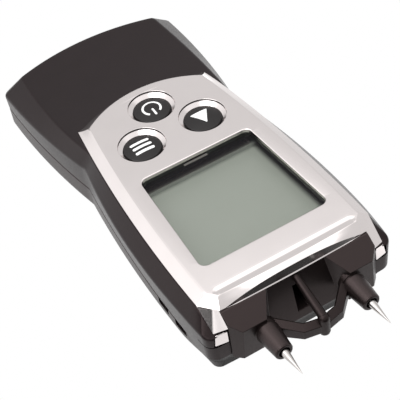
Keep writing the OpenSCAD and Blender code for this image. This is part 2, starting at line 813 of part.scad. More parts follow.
// Height of the silver cover's lower edge, which runs down the legs
function silver_foot_z(y) =
    min(panel_z(y) + (y < y_waist ? slack : 0),
        lookup(y, [[y_leg, seat_z], [y_leg_end, leg_side_z], [y_front, leg_z]]));

// Silver cover over the display section: bevelled rim, window, dished key rings and two legs
module bezel() {
    function leg_face_y(x) = y_front - leg_chamfer * max(0, x - mouth_w / 2);
    foot = [for (p = silver_half(0, 0, y_front, leg_corner_r)) [p.x, min(p.y, leg_face_y(p.x))]];
    crown = silver_half(rim_w, rim_end_w, y_nose, front_corner_r / 2);
    function rim(share) = silver_half(rim_w * share, rim_end_w * share,
                                      y_brow - (y_brow - y_nose) * (1 - cos(90 * share)), front_corner_r);
    function rim_z(y, share) =
        let (low = y > y_nose ? brow_z : silver_foot_z(min(y, y_leg)))
        low + (top_z - low) * (y > y_nose ? sin(90 * share) : share);
    shares = [0.04, 0.3, 0.6];
    shape = concat(
        [[for (p = foot) [p.x, p.y, silver_foot_z(p.y)]]],
        [for (t = shares) [for (p = rim(t)) [p.x, p.y, rim_z(p.y, t)]]],
        [level(crown, top_z)]
    );
    core_ring = ring(level(silver_half(rim_w, rim_end_w, y_scoop - over, front_corner_r / 2), 0));
    mouth = mouth_w / 2;
    ring_low = seat_z + silver_gap - slack * 2;
    hole_d = key_d + 2 * key_gap;
    color("#d5cecd")
        difference() {
            union() {
                difference() {
                    loft(shape);
                    slab([for (p = core_ring) [p.x, p.y]], panel_low_z - over, skin_z);
                }
                for (p = key_places)
                    post(p, ring_d + 2 * silver_skin, ring_low, skin_z + slack);
            }
            slab(window(0), seat_z, top_z + over);
            for (p = key_places) {
                post(p, hole_d, seat_z, top_z + over);
                translate([p.x, p.y, top_z - ring_depth])
                    cylinder(d1 = hole_d, d2 = ring_d, h = ring_depth);
                post(p, ring_d, top_z, top_z + over);
            }
            slab(plate(mouth_w - over, y_scoop, y_front, scoop_r), scoop_z, top_z + over);
            block([-mouth, y_scoop + over, panel_low_z - over], [mouth, y_front + over, brow_z]);
        }
}

// Black frame between the silver cover and the lens, seen as the window's dark wall
module window_frame() {
    color("#1d1a1b")
        difference() {
            slab(plate(lens_w + 2 * frame_edge, lens_y0 - frame_edge, lens_y1 + frame_edge,
                       window_corner_r + frame_edge), seat_z, skin_z);
            slab(window(slack), seat_z - over, skin_z + over);
        }
}

// Clear lens over the display
module window_lens() {
    color("#dfe6e2", 0.35)
        slab(plate(lens_w, lens_y0, lens_y1, window_corner_r), lens_z, seat_z);
}

// Display of two glass plates, the lower one shorter so that the strips reach the upper
module lcd_glass() {
    ledge = strip_w + 4 * slack;
    color("#9ea598")
        union() {
            slab(plate(lens_w, lens_y0, lens_y1, window_corner_r), glass_z + glass_t, lens_z);
            slab(plate(lens_w, lens_y0 + ledge, lens_y1 - ledge, window_corner_r / 2),
                 glass_z, glass_z + glass_t);
        }
}

// Rubber strips that join the display to the board
module connector_strips() {
    color("#b88f93")
        for (y = [lens_y0, lens_y1 - strip_w])
            block([-window_back_w / 2, y, board_top], [window_back_w / 2, y + strip_w, glass_z + glass_t]);
}

// Circuit board under the display and the keys
module circuit_board() {
    color("#2f5a41")
        difference() {
            slab(plate(board_w, y_board_back, y_board_front, window_corner_r), board_z, board_top);
            for (p = case_screw_places)
                post(p, boss_d + 8 * slack, board_z - over, board_top + over);
            for (p = board_screw_places)
                post(p, board_screw_d + 2 * screw_gap, board_z - over, board_top + over);
        }
}

// Controller chip under the board
module controller_chip() {
    color("#232323")
        block([-chip_w / 2, y_window_mid - chip_w / 2, board_z - chip_h],
              [chip_w / 2, y_window_mid + chip_w / 2, board_z]);
}

// Bodies of the three tactile switches on the board
module tactile_switches() {
    color("#3a3a3c")
        for (p = key_places)
            difference() {
                block([p.x - switch_w / 2, p.y - switch_w / 2, board_top],
                      [p.x + switch_w / 2, p.y + switch_w / 2, board_top + switch_h]);
                post(p, plunger_d + 2 * plunger_gap, plunger_foot_z - key_travel - 2 * slack,
                     board_top + switch_h + over);
            }
}

// Key with a domed cap and a flange that keeps it under the silver cover
module key(p) {
    dome_r = (key_d * key_d / 4 + dome_h * dome_h) / (2 * dome_h);
    steps = 8;
    cap_z = top_z - key_sink - dome_h;
    arc = [for (i = [0:steps])
        let (x = key_d / 2 * (1 - i / steps))
        [x, cap_z + dome_h - dome_r + sqrt(dome_r * dome_r - x * x)]];
    color("#2e2a2a")
        translate([p.x, p.y, 0])
            rotate_extrude()
                polygon(concat([
                    [0, key_foot_z],
                    [key_d / 2 + flange_w, key_foot_z],
                    [key_d / 2 + flange_w, key_foot_z + flange_t],
                    [key_d / 2, key_foot_z + flange_t]
                ], arc));
}

// Plunger of a tactile switch, under its key
module plunger(p) {
    color("#c9c2b4")
        post(p, plunger_d, plunger_foot_z, key_foot_z);
}

module power_button() { key(key_places[0]); }
module up_button() { key(key_places[1]); }
module mode_button() { key(key_places[2]); }
module power_plunger() { plunger(key_places[0]); }
module up_plunger() { plunger(key_places[1]); }
module mode_plunger() { plunger(key_places[2]); }

sleeve_end_y = y_tip - pin_out + sleeve_cup;
pin_shank_y0 = y_block_back;

// Bar with level top and upright sides along a bent path in space
module bent_bar(path, w, h) {
    last = len(path) - 1;
    function side(i) =
        let (run = path[i + 1] - path[i])
        [run.y, -run.x, 0] / norm([run.x, run.y]);
    function miter(i) =
        let (a = side(max(i - 1, 0)))
        let (b = side(min(i, last - 1)))
        (a + b) / (1 + a * b);
    up = [0, 0, h / 2];
    points = [for (i = [0:last])
        let (across = w / 2 * miter(i))
        each [path[i] - across - up, path[i] + across - up, path[i] + across + up, path[i] - across + up]];
    sides = [for (i = [0:last - 1], k = [0:3])
        let (a = 4 * i + k)
        let (b = 4 * i + (k + 1) % 4)
        each [[a, b, b + 4], [a, b + 4, a + 4]]];
    end = 4 * last;
    polyhedron(points, concat(sides, [[0, 3, 2, 1], [end, end + 1, end + 2, end + 3]]));
}

// Middle line of the guard bow, from inside one boss over two bends into the other
bow_half = [
    [hollow_front_w / 2, y_boss - boss_lean - bow_w / 2, bow_z + bow_dip],
    [bow_bend_w / 2, y_front + bow_out - bow_bend_back - bow_w / 2, bow_z]
];
hub = [0, y_front + bow_out - bow_w / 2, bow_z];
bow_path = concat([for (p = bow_half) [-p.x, p.y, p.z]], [hub], [bow_half[1], bow_half[0]]);

// Black moulding at the front: two bosses with the pin sleeves, a guard bow and a slanted rib
module pin_block() {
    half_w = mouth_w / 2 - slack;
    rib_foot = [0, hub.y, hub.z + post_up];
    rib_top = [0, y_hollow - over, brow_z - rib_top_d];
    rib_run = rib_foot - rib_top;
    post_dome = [for (i = [0:corner_steps])
        let (a = 90 * i / corner_steps)
        [post_d / 2 * cos(a), post_up + post_d / 2 * sin(a)]];
    sleeve_bore_d = sleeve_end_d - 2 * sleeve_rim;
    color("#3f3839")
        difference() {
            union() {
                difference() {
                    intersection() {
                        slab([[-half_w, y_block_back], [half_w, y_block_back], [half_w, y_front],
                              [boss_front_w / 2, y_boss], [-boss_front_w / 2, y_boss], [-half_w, y_front]],
                             parting_z, brow_z);
                        rotate([90, 0, 90])
                            translate([0, 0, -half_w])
                                linear_extrude(2 * half_w)
                                    polygon([[y_block_back, parting_z], [y_boss - boss_lean, parting_z],
                                             [y_boss, boss_edge_z], [y_brow + slack, brow_z - slack],
                                             [y_block_back, brow_z - slack]]);
                    }
                    intersection() {
                        slab([[-hollow_back_w / 2, y_hollow - over], [hollow_back_w / 2, y_hollow - over],
                              [hollow_mid_w / 2, y_brow], [hollow_front_w / 2, y_boss + slack],
                              [-hollow_front_w / 2, y_boss + slack], [-hollow_mid_w / 2, y_brow]],
                             parting_z - over, brow_z + over);
                        rotate([90, 0, 90])
                            translate([0, 0, -half_w])
                                linear_extrude(2 * half_w)
                                    polygon([[y_hollow + hollow_lean, parting_z], [y_hollow, brow_z],
                                             [y_hollow, brow_z + over], [y_boss + over, brow_z + over],
                                             [y_boss + over, parting_z - over],
                                             [y_hollow + hollow_lean, parting_z - over]]);
                    }
                    block([-slot_w / 2, y_block_back - over, pin_z - slot_h / 2],
                          [slot_w / 2, y_hollow + hollow_lean, pin_z + slot_h / 2]);
                }
                bent_bar(bow_path, bow_w, bow_h);
                translate(hub)
                    rotate_extrude()
                        polygon(concat([[0, -post_down], [post_d / 2, -post_down]], post_dome));
                translate(rib_top)
                    rotate([atan2(-rib_run.y, rib_run.z), 0, 0])
                        cylinder(d1 = rib_top_d, d2 = rib_d, h = norm(rib_run));
                for (s = [-1, 1])
                    bar_y(s * pin_spread / 2, pin_z, sleeve_root_d, sleeve_end_d, y_boss - boss_lean - over,
                          sleeve_end_y);
            }
            for (s = [-1, 1]) {
                bar_y(s * pin_spread / 2, pin_z, pin_shank_d, pin_shank_d, y_block_back - over,
                      y_tip - pin_out);
                bar_y(s * pin_spread / 2, pin_z, sleeve_bore_d, sleeve_bore_d, sleeve_end_y - sleeve_cup,
                      sleeve_end_y + over);
            }
        }
}

// Steel measuring pin: a shank held in the sleeve and a long point
module pin(s) {
    y_bare = y_tip - pin_out;
    steps = 10;
    arc = [for (i = [0:steps])
        let (t = i / steps)
        [pin_point_r + (pin_d / 2 - pin_point_r) * (1 - t) * (1 + pin_swell * t), y_bare + pin_out * t]];
    color("#d6d6d8")
        translate([s * pin_spread / 2, 0, pin_z])
            rotate([-90, 0, 0])
                rotate_extrude()
                    polygon(concat([[0, pin_shank_y0], [pin_shank_d / 2, pin_shank_y0],
                                    [pin_shank_d / 2, y_bare]], arc, [[0, y_tip]]));
}

module left_pin() { pin(-1); }
module right_pin() { pin(1); }

// Leaf contacts from the pins to the board
module pin_contacts() {
    leaf_w = pin_shank_d;
    color("#c8b27a")
        for (s = [-1, 1])
            union() {
                block([s * pin_spread / 2 - leaf_w / 2, y_block_back - contact_t, pin_z - leaf_w / 2],
                      [s * pin_spread / 2 + leaf_w / 2, y_block_back, board_z]);
                block([s * pin_spread / 2 - leaf_w / 2, y_board_front - leaf_len, board_z - contact_t],
                      [s * pin_spread / 2 + leaf_w / 2, y_block_back, board_z]);
            }
}

// Sliding battery cover with rails at its sides and grip grooves
module battery_cover() {
    half_w = bay_w / 2 - door_gap;
    end_c = [0, door_y0 + end_r];
    function door_end(w) = [for (i = [-end_steps:end_steps])
        let (x = w * i / end_steps)
        [x, end_c.y - sqrt(end_r * end_r - x * x)]];
    grip_y = (y_end + y_cell_back) / 2 + grip_count * grip_pitch;
    color("#272324")
        difference() {
            union() {
                slab(concat(door_end(half_w), [[half_w, door_y1], [-half_w, door_y1]]),
                     door_gap, door_gap + door_t - slack);
                slab([[-half_w - rail_w, y_cell_back], [half_w + rail_w, y_cell_back],
                      [half_w + rail_w, door_y1], [-half_w - rail_w, door_y1]], rail_z, rail_z + rail_t);
            }
            for (i = [0:grip_count - 1])
                block([-grip_len / 2, grip_y - i * grip_pitch, door_gap - over],
                      [grip_len / 2, grip_y - i * grip_pitch + grip_w, door_gap + grip_depth]);
        }
}

// Size AAA cell whose nub points along +Y when s is 1 and along -Y when s is -1
module cell(x, s) {
    y0 = s > 0 ? y_cell_back + spring_len : y_cell_back;
    body_y0 = s > 0 ? y0 : y0 + nub_h;
    bar_y(x, cell_z, cell_d, cell_d, body_y0, body_y0 + cell_len - nub_h);
    nub_y0 = s > 0 ? y0 + cell_len - nub_h - slack : y0;
    bar_y(x, cell_z, nub_d, nub_d, nub_y0, nub_y0 + nub_h + slack);
}

module left_cell() {
    color("#b9a36a")
        cell(-cell_pitch / 2, -1);
}

module right_cell() {
    color("#b9a36a")
        cell(cell_pitch / 2, 1);
}

// Points of a contact spring's wire along +Y, widest at its foot
function spring_at(t) =
    let (r = (spring_d - spring_wire) / 2 * (1 - spring_taper * t))
    let (turn = 360 * spring_turns * t)
    [r * cos(turn), spring_wire / 2 + (spring_len - spring_wire) * t, r * sin(turn)];

spring_rings = spring_turns * 12;
spring_sides = 6;

// One conical contact spring as a tube along its wire
module spring() {
    points = [for (i = [0:spring_rings])
        let (t = i / spring_rings)
        let (p = spring_at(t))
        let (out = [p.x, 0, p.z] / norm([p.x, p.z]))
        for (k = [0:spring_sides - 1])
            let (a = 360 * k / spring_sides)
            p + spring_wire / 2 * (out * cos(a) + [0, sin(a), 0])];
    tube = [for (i = [0:spring_rings - 1], k = [0:spring_sides - 1])
        let (a = i * spring_sides + k)
        let (b = i * spring_sides + (k + 1) % spring_sides)
        each [[a, b, b + spring_sides], [a, b + spring_sides, a + spring_sides]]];
    first = [for (k = [1:spring_sides - 2]) [0, k + 1, k]];
    base = spring_rings * spring_sides;
    last = [for (k = [1:spring_sides - 2]) [base, base + k, base + k + 1]];
    polyhedron(points, concat(tube, first, last));
}

// The two conical springs, one at the rear of the right cell and one in front of the left cell
module cell_springs() {
    color("#c9c9cc") {
        translate([cell_pitch / 2, y_cell_back, cell_z])
            spring();
        translate([-cell_pitch / 2, y_cell_front, cell_z])
            rotate([0, 0, 180])
                spring();
    }
}

// Half the side of the contact plates
plate_half = spring_d / 2 + plate_rim;

// Plate at the rear that joins the two cells
module cell_link() {
    color("#c9c9cc")
        block([-cell_pitch / 2 - plate_half, y_cell_back - contact_t, cell_z - plate_half],
              [cell_pitch / 2 + plate_half, y_cell_back, cell_z + plate_half]);
}

// Front contact plate with a tab up to the board
module front_contact(x) {
    color("#c9c9cc")
        union() {
            block([x - plate_half, y_cell_front, cell_z - plate_half],
                  [x + plate_half, y_cell_front + contact_t, cell_z + plate_half]);
            block([x - tab_w / 2, y_cell_front, cell_z], [x + tab_w / 2, y_cell_front + contact_t, board_z]);
        }
}

module positive_contact() { front_contact(cell_pitch / 2); }
module negative_contact() { front_contact(-cell_pitch / 2); }

// Pan-head screw from below with a cross recess
module screw(p, seat, d, len, head, high) {
    recess = head / 6;
    difference() {
        union() {
            post(p, d, seat - slack, seat + len);
            post(p, head, seat - high, seat);
        }
        for (a = [0, 90])
            translate([p.x, p.y, seat - high])
                rotate([0, 0, a])
                    block([-head / 3, -recess / 2, -over], [head / 3, recess / 2, high / 2]);
    }
}

// The four screws that hold the two shells together
module case_screws() {
    color("#8f8f93")
        for (p = case_screw_places)
            screw(p, head_seat_z, screw_d, screw_len, head_d, head_h);
}

// The three screws that hold the board to the upper shell
module board_screws() {
    color("#a5a5a8")
        for (p = board_screw_places)
            screw(p, board_z, board_screw_d, seat_z - top_t - board_z - slack, board_head_d, board_head_h);
}

lower_shell();
upper_shell();
bezel();
corner_trims();
window_frame();
window_lens();
lcd_glass();
connector_strips();
circuit_board();
controller_chip();
tactile_switches();
power_button();
up_button();
mode_button();
power_plunger();
up_plunger();
mode_plunger();
pin_block();
left_pin();
right_pin();
pin_contacts();
battery_cover();
left_cell();
right_cell();
cell_springs();
cell_link();
positive_contact();
negative_contact();
case_screws();
board_screws();
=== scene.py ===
"""Looks of the pocket moisture meter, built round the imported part."""

import math

import bmesh
import bpy
from mathutils import Matrix, Vector


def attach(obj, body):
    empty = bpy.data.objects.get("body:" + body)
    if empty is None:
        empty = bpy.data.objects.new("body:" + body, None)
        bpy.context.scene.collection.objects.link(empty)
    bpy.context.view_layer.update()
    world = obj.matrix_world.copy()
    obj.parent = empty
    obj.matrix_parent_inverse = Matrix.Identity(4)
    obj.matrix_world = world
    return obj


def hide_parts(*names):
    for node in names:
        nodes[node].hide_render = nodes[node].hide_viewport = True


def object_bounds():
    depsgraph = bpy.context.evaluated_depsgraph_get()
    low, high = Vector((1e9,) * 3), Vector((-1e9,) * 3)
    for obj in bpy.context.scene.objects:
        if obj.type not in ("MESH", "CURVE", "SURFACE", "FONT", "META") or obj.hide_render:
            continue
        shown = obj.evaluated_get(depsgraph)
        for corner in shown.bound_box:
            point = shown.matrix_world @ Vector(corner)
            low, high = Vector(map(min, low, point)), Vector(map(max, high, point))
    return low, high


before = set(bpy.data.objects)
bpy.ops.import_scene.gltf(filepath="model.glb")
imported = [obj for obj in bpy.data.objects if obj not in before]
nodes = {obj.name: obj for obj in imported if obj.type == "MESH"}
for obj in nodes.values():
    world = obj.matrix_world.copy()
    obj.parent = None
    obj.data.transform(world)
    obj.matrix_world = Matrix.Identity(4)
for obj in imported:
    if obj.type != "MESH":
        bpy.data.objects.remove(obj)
size_at_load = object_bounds()

# Sizes are in millimetres, and a side is (half width, y of its widest place, radius)
MM = 0.001
box_low, box_high = ([round(c / MM, 3) for c in corner] for corner in size_at_load)

# How far a cutter reaches past its work, and how far joined solids reach into each other
PAST = 1.0
OVERLAP = 0.05

# Case
END_Y = box_low[1]
END_R = 57.0
END_CORNER_R = 2.0
FRONT_Y = 43.7
FRONT_R = 400.0
FRONT_CORNER_R = 4.0
HANDLE = (23.05, -51.4, 193.0)
DISPLAY = (22.8, 21.6, 193.0)
WAIST_Y = -14.2
TOP_Z = box_high[2]
WALL = 1.8
SLOPE_WALL = 0.9

# Steps along each stretch of an outline, and round an edge
STEPS = {"end": 14, "corner": 16, "handle": 22, "display": 30, "front": 14, "round": 4}

# Joint between the shells, with a thin seam
PART_Z = 6.9
JOINT = (21.8, 26.0, 345.0)
JOINT_CORNER_R = 2.6
JOINT_END_CORNER_R = 1.0
DRAFT = 0.3
SEAM_IN = 0.2
SEAM_H = 0.3

# Upper shell
BEVEL_Z = ((END_Y, 10.9), (WAIST_Y, 14.0), (33.0, 14.5), (FRONT_Y, 13.9))
EDGE_CORNER_R = 2.2
EDGE_ROUND = 0.55
PANEL = (18.85, -35.4, 193.0)
PANEL_END_Y = -54.2
PANEL_END_R = 53.0
PANEL_CORNER_R = 1.2
PANEL_LOW_Y = -49.4
PANEL_LOW_Z = 15.6
PANEL_R = 245.0
SEAT_Z = 18.1
COVER_GAP = 0.25
COVER_GAP_RUN = 2.0
CROWN_FRONT_IN = 1.0
CROWN_W = 1.2
CROWN_ROUND = 0.45
CAVITY_FRONT_IN = 5.6
CAVITY_TOP_IN = 0.9
CAVITY_TOP_DROP = 2.0
MOUTH_X = 17.05
MOUTH_BACK_Y = 37.65
LENS_SEAT = (32.0, 1.45, 32.35, 1.6)
KEY_HOLE_R = 5.5
SEAT_CUT_Z = (15.0, 19.0)

# Lower shell: an end, a side or a front that is drawn in is given as what it loses
LOWER_CORNER_R = 3.0
GROUND_CORNER_R = 1.6
GROUND_IN = {"end": 1.5, "display": 2.7, "front": 3.2}
GROUND_ROUND = 0.6
UNDER_IN = 1.5
FOOT_Z = ((WAIST_Y, 1.9), (30.0, 3.9), (FRONT_Y, 3.5))
FOOT_IN = {"front": 2.0, "side": 1.2}
FOOT_ROUND = 0.8
BRIM_IN = {"front": 0.8, "side": 0.6}
BRIM_DROP = 0.5
BRIM_DROP_Y = (38.0, 42.0)
LIP_IN = {"front": 1.6, "side": 0.6}
LIP_GAP = 0.02
PINCH_X = 12.55
PINCH_Y = (30.0, 41.0)
BAY_X = 11.6
BAY_Y = (-51.4, -2.4)
BAY_WALL = 1.1
RAIL_X = 12.55
RAIL_Z = 0.85
COVER_Y = -2.65
CASE_SCREWS = [(s * x, y) for s in (-1, 1) for x, y in ((14.2, 35.1), (15.6, -1.7))]
BOSS_R = 3.2
HEAD_R = 2.2
HEAD_Z = 2.6
BORE_R = 1.4
BORE_Z = 8.0
NOTCH_Y = (30.9, 23.9)
NOTCH_HALF = 2.1
NOTCH_H = 1.75
NOTCH_IN = 0.9

# Silver cover
SILVER = (20.1, 28.1, 345.0)
SILVER_END_Y = -27.5
SILVER_END_R = 26.4
SKIN_Z = 19.2
EDGE_H = 0.12
RIM_W = 2.35
RIM_END_W = 3.4
RIM_SHARES = (0.0, 0.05, 0.25, 0.5, 0.6, 0.7, 0.8, 0.9)
RIM_LAST_SHARE = 0.96
RIM_ROUND = 0.35
SKIRT_X = (14.0, 18.0)
INNER_IN = 1.0
INNER_CORNER_W = 1.2
BROW_Y = 41.35
BROW_Z = 17.9
BROW_DROP_Y = (BROW_Y - 1.3, BROW_Y - 0.3)
BROW_FACE_X = 15.6
BROW_POWER = 2.4
NOSE_Y = 39.35
NOSE_START_Y = (NOSE_Y - 3.0, NOSE_Y + 0.5)
FACE_LEAN = 0.45
FLANGE = 0.13
FLANGE_SHARE = 0.1
FLANGE_END_X = (13.0, 15.5)
CORNER_W = 2.95
CORNER_LOSS = 1.4
LEG_Y = 37.35
LEG_SHARE = 0.69
LEG_OUTER = (19.68, 42.35, 14.4)
LEG_INNER = (16.95, 43.66, 15.35)
CUT_FOOT_Z = 10.0

# Scoop in the brow: its steps are (inset, share of the depth)
SCOOP_X = 16.5
SCOOP_Y = (36.9, 39.45)
SCOOP_R = 1.25
SCOOP_DEPTH = 0.14
SCOOP_RUN_OUT = 1.05
SCOOP_LEVEL = 1.0
COVER_MOUTH_Y = SCOOP_Y[0] + 1.0
SCOOP_STEPS = ((1.1, 0.0), (0.85, 0.07), (0.5, 0.4), (0.15, 0.85), (0.0, 1.0), (0.0, 5.0))

# Corner trims, and the groove under them
TRIM_FACE = ((17.2, 43.62, 14.85), (19.78, 42.8, 14.2), (20.09, 43.15, 11.45), (17.2, 43.75, 11.6))
TRIM_BACK_Y = 41.9
TRIM_FALL = 1.9
TRIM_ROUND = 0.25
TRIM_GAP = 0.28
TRIM_SEAT_REACH = 4
GROOVE_Z = (11.0, 11.26)
GROOVE_IN = 0.25
GROOVE_FROM = (MOUTH_X - 1.5, LEG_Y + 0.6)

# Window
WINDOW_X = (13.4, 14.85)
WINDOW_Y = (2.6, 31.2)
WINDOW_R = 1.6
WINDOW_LEAST_R = 0.3
WINDOW_LIP = 0.3
WINDOW_UNDERCUT = 1.6
TAB = ((-2.9, 2.4, 18.3), (2.9, 3.0, 18.6))
TAB_ROUND = 0.08

# Keys
KEYS = {"power_button": (0.0, -16.8), "up_button": (-7.65, -7.1), "mode_button": (7.65, -7.1)}
KEY_R = 4.2
KEY_TOP_Z = 19.55
KEY_DOME = 0.5
DOME_R = (KEY_R ** 2 + KEY_DOME ** 2) / (2 * KEY_DOME)
KEY_EDGE_R = 0.25
KEY_SIDE_DROP = 0.22
KEY_FLANGE_R = 5.2
KEY_FLANGE_Z = (17.6, 18.35)
KEY_GAP = 0.15
RING_R = 5.35
RING_LIP = 0.1
RING_DRAFT = 0.04
RING_WALL_DROP = 0.5
RING_FOOT_DROP = 1.15
PRINT_R = KEY_R - 0.6
PRINT_T = 0.03
PRINT_FOOT_DROP = 0.9
STROKE = 0.5
POWER_R = 2.05
POWER_ARC = (128, 412)
POWER_BAR = (0.0, 1.35, STROKE, 2.2)
ARROW = ((-2.15, -2.0), (2.15, -2.0), (0.0, 2.1))
ARROW_ROUND = 0.12
BAR = (4.6, 0.75)
BAR_Y = (-1.45, 0.0, 1.45)
BAR_ROUND = 0.45

# Pin block: the guard bow's arm is (x, y, z, extra depth), and its section is (across, up)
BLOCK_X = MOUTH_X - OVERLAP
BLOCK_BACK_Y = 38.1
BLOCK_FOOT_Z = 6.5
BLOCK_ROUND = 0.22
BOSS_X = 15.0
BOSS_Y = 45.7
BOSS_FOOT_Y = 45.3
BOSS_EDGE_Z = 14.85
HOLLOW_BACK = (6.1, 40.5)
HOLLOW_NECK_X = 6.75
HOLLOW_FRONT_X = 9.7
HOLLOW_TOP_Y = 41.1
HOLLOW_FOOT_Y = 43.5
HOLLOW_CUT_Y = 47.0
HOLLOW_CUT_Z = (5.0, 19.0)
SLOT = ((-1.3, 37.0, 8.5), (1.3, 44.0, 15.0))
HUB = (0.0, 50.45, 10.9)
BOW_SECTION = ((-0.95, -0.95), (0.95, -0.95), (0.95, 0.95), (-0.55, 1.65), (-0.95, 1.4))
BOW_ROUND = 0.22
BOW_ARM = [(9.7, 44.0, 11.7, 1.4), (4.05, 49.55, 10.9, 0.4), HUB + (0.3,)]
POST_R = 1.2
POST_FOOT = [(0.0, -2.5), (0.7, -2.4), (1.05, -2.1), (POST_R, -1.6)]
POST_TOP = 2.0
RIB = ((0.0, 40.5, 16.75), (0.0, 50.3, 13.2))
RIB_R = (0.75, 1.0)

# Pins and their sleeves: the sleeve's root is (radius, y)
PIN_X = 10.05
PIN_Z = 11.75
PIN_TIP_Y = box_high[1]
PIN_R = 1.0
PIN_TIP_R = 0.05
PIN_SWELL = 0.05
PIN_SHANK_R = 1.15
PIN_SHANK_LENGTH = 8.0
PIN_SHOULDER = 0.3
PIN_SEAT = 0.7
PIN_STEPS = 14
SLEEVE_END_Y = 52.1
SLEEVE_ROOT = [(2.55, 44.3), (2.55, 45.5), (2.3, 45.65), (2.3, 45.95), (2.5, 46.1)]
SLEEVE_END_R = 1.95
SLEEVE_EDGE_R = 0.25
SLEEVE_FACE_R = 1.65
SLEEVE_RIM_R = 1.3
SLEEVE_CHAMFER = 0.05
SLEEVE_BORE_R = 1.25
SLEEVE_BORE_END_R = 0.2
SLEEVE_BORE_DEPTH = 0.9

# Lens and display: colours, and in metres where the painted shade along the display's borders ends
LENS_TONE = ((0.10, 0.11, 0.105), (0.12, 0.13, 0.125))
DISPLAY_TONE = ((0.190, 0.205, 0.178), (0.194, 0.209, 0.182))
DISPLAY_PAINTED_SHADE = (0.008, 0.006, 0.008)
SHADE_Y = (0.0024, 0.0046)
SHADE_X = (-0.0145, -0.0128)
SHADE_TAPER = 0.0507

# Floor, in metres: its corners, and the band on the -X side that is brighter in reflections
FLOOR = ((-0.08, -0.25), (0.12, 0.066))
FLOOR_Z = -0.0002
FLOOR_TONE = 0.86
FLOOR_ROUGH = 0.9
FLOOR_BAND = ((-0.058, -0.048), (-0.025, -0.05))
FLOOR_SHINE = 1.7

# Room: brightness, and the directions between which a part of it fades in
ROOM_GLOW = 0.8
SIDE_GLOW = 1.1
SIDE_END_Y = (0.36, 0.66)
OVER_GLOW = 0.8
OVER_Z = (0.66, 0.92)
OVER_FADE = 0.7
OVER_FADE_Y = (0.1, 0.4)
AHEAD_DIM = 0.95
AHEAD_Y = (0.55, 0.85)
AHEAD_TOP_Z = (0.05, 0.3)
SKYLINE_DIM = 0.9
SKYLINE_Y = (-0.8, -0.92)
SKYLINE_TOP_Z = (0.02, 0.3)
CARD_DIM = 0.95
CARD_X = (0.74, 0.8)
CARD_TOP_Z = (0.46, 0.56)
CARD_BACK_Y = (-0.35, -0.15)
CARD_FRONT_Y = (0.36, 0.46)

# Light and camera, in metres
LIGHT_AT = (0.45, 0.1, 0.7)
LIGHT_TARGET = (0.0, 0.0, 0.01)
LIGHT_SIZE = 0.7
LIGHT_POWER = 3.0
CAMERA_AT = (0.072614, 0.173230, 0.193069)
CAMERA_RIGHT = (-0.85663, 0.50013, -0.12673)
CAMERA_UP = (-0.43738, -0.57367, 0.69253)
CAMERA_BACK = (0.27366, 0.64867, 0.71017)
SENSOR_W = 36.0
FOCAL_LENGTH = 107.18
CLIP_START = 0.01


# Plan outlines

def cross(a, ra, b, rb, pick):
    """The meeting point of two circles for which pick is largest."""
    dx, dy = b[0] - a[0], b[1] - a[1]
    d = math.hypot(dx, dy)
    ux, uy = dx / d, dy / d
    along = (d * d + ra * ra - rb * rb) / (2 * d)
    side = math.sqrt(max(ra * ra - along * along, 0.0))
    p = (a[0] + along * ux + side * uy, a[1] + along * uy - side * ux)
    q = (a[0] + along * ux - side * uy, a[1] + along * uy + side * ux)
    return max((p, q), key=pick)


def right_of(p):
    return p[0]


def behind(p):
    return -p[1]


def arc(c, p, q, steps):
    """Points after p up to q on the arc round c."""
    r = math.hypot(p[0] - c[0], p[1] - c[1])
    a = math.atan2(p[1] - c[1], p[0] - c[0])
    b = math.atan2(q[1] - c[1], q[0] - c[0])
    out = []
    for i in range(1, steps + 1):
        t = a + (b - a) * i / steps
        out.append((c[0] + r * math.cos(t), c[1] + r * math.sin(t)))
    return out


def quarter(steps):
    """Cosine and sine at even steps through a quarter turn."""
    turns = [math.pi / 2 * i / steps for i in range(steps + 1)]
    return [(math.cos(a), math.sin(a)) for a in turns]


def touch(c, r, f):
    """Point of the circle round c on the way to f."""
    d = math.hypot(f[0] - c[0], f[1] - c[1])
    return (c[0] + (f[0] - c[0]) * r / d, c[1] + (f[1] - c[1]) * r / d)


def case_half(end, handle, display, front, front_corner=FRONT_CORNER_R):
    """Right half of a case outline from the handle's end to the front.

    end is (y, radius, corner radius), handle and display are sides, front is a y."""
    end_y, end_r, end_corner = end
    ec = (0.0, end_y + end_r)
    hc = (handle[0] - handle[2], handle[1])
    dc = (display[0] - display[2], display[1])
    fc = (0.0, front - FRONT_R)
    ef = cross(ec, end_r - end_corner, hc, handle[2] - end_corner, right_of)
    ff = cross(fc, FRONT_R - front_corner, dc, display[2] - front_corner, right_of)
    ea = touch(ec, end_r, ef)
    eb = touch(hc, handle[2], ef)
    waist = cross(hc, handle[2], dc, display[2], right_of)
    fa = touch(dc, display[2], ff)
    fb = touch(fc, FRONT_R, ff)
    pts = [(0.0, end_y)]
    pts += arc(ec, (0.0, end_y), ea, STEPS["end"])
    pts += arc(ef, ea, eb, STEPS["corner"])
    pts += arc(hc, eb, waist, STEPS["handle"])
    pts += arc(dc, waist, fa, STEPS["display"])
    pts += arc(ff, fa, fb, STEPS["corner"])
    pts += arc(fc, fb, (0.0, front), STEPS["front"])
    return pts


def narrowed(side, by):
    return (side[0] - by,) + side[1:]


def body_half(end_in, handle_in, display_in, front_in, corner=FRONT_CORNER_R):
    """Half outline of the case at its widest edge, less what each stretch is drawn in."""
    end = (END_Y + end_in, END_R, END_CORNER_R)
    handle = narrowed(HANDLE, handle_in)
    return case_half(end, handle, narrowed(DISPLAY, display_in), FRONT_Y - front_in, corner)


def joint_half(all_in, front_in, corner=JOINT_CORNER_R):
    """Half outline at the joint between the shells."""
    handle = narrowed(narrowed(HANDLE, DRAFT), all_in)
    end = (END_Y + all_in, END_R, JOINT_END_CORNER_R)
    return case_half(end, handle, narrowed(JOINT, all_in), FRONT_Y - front_in, corner)


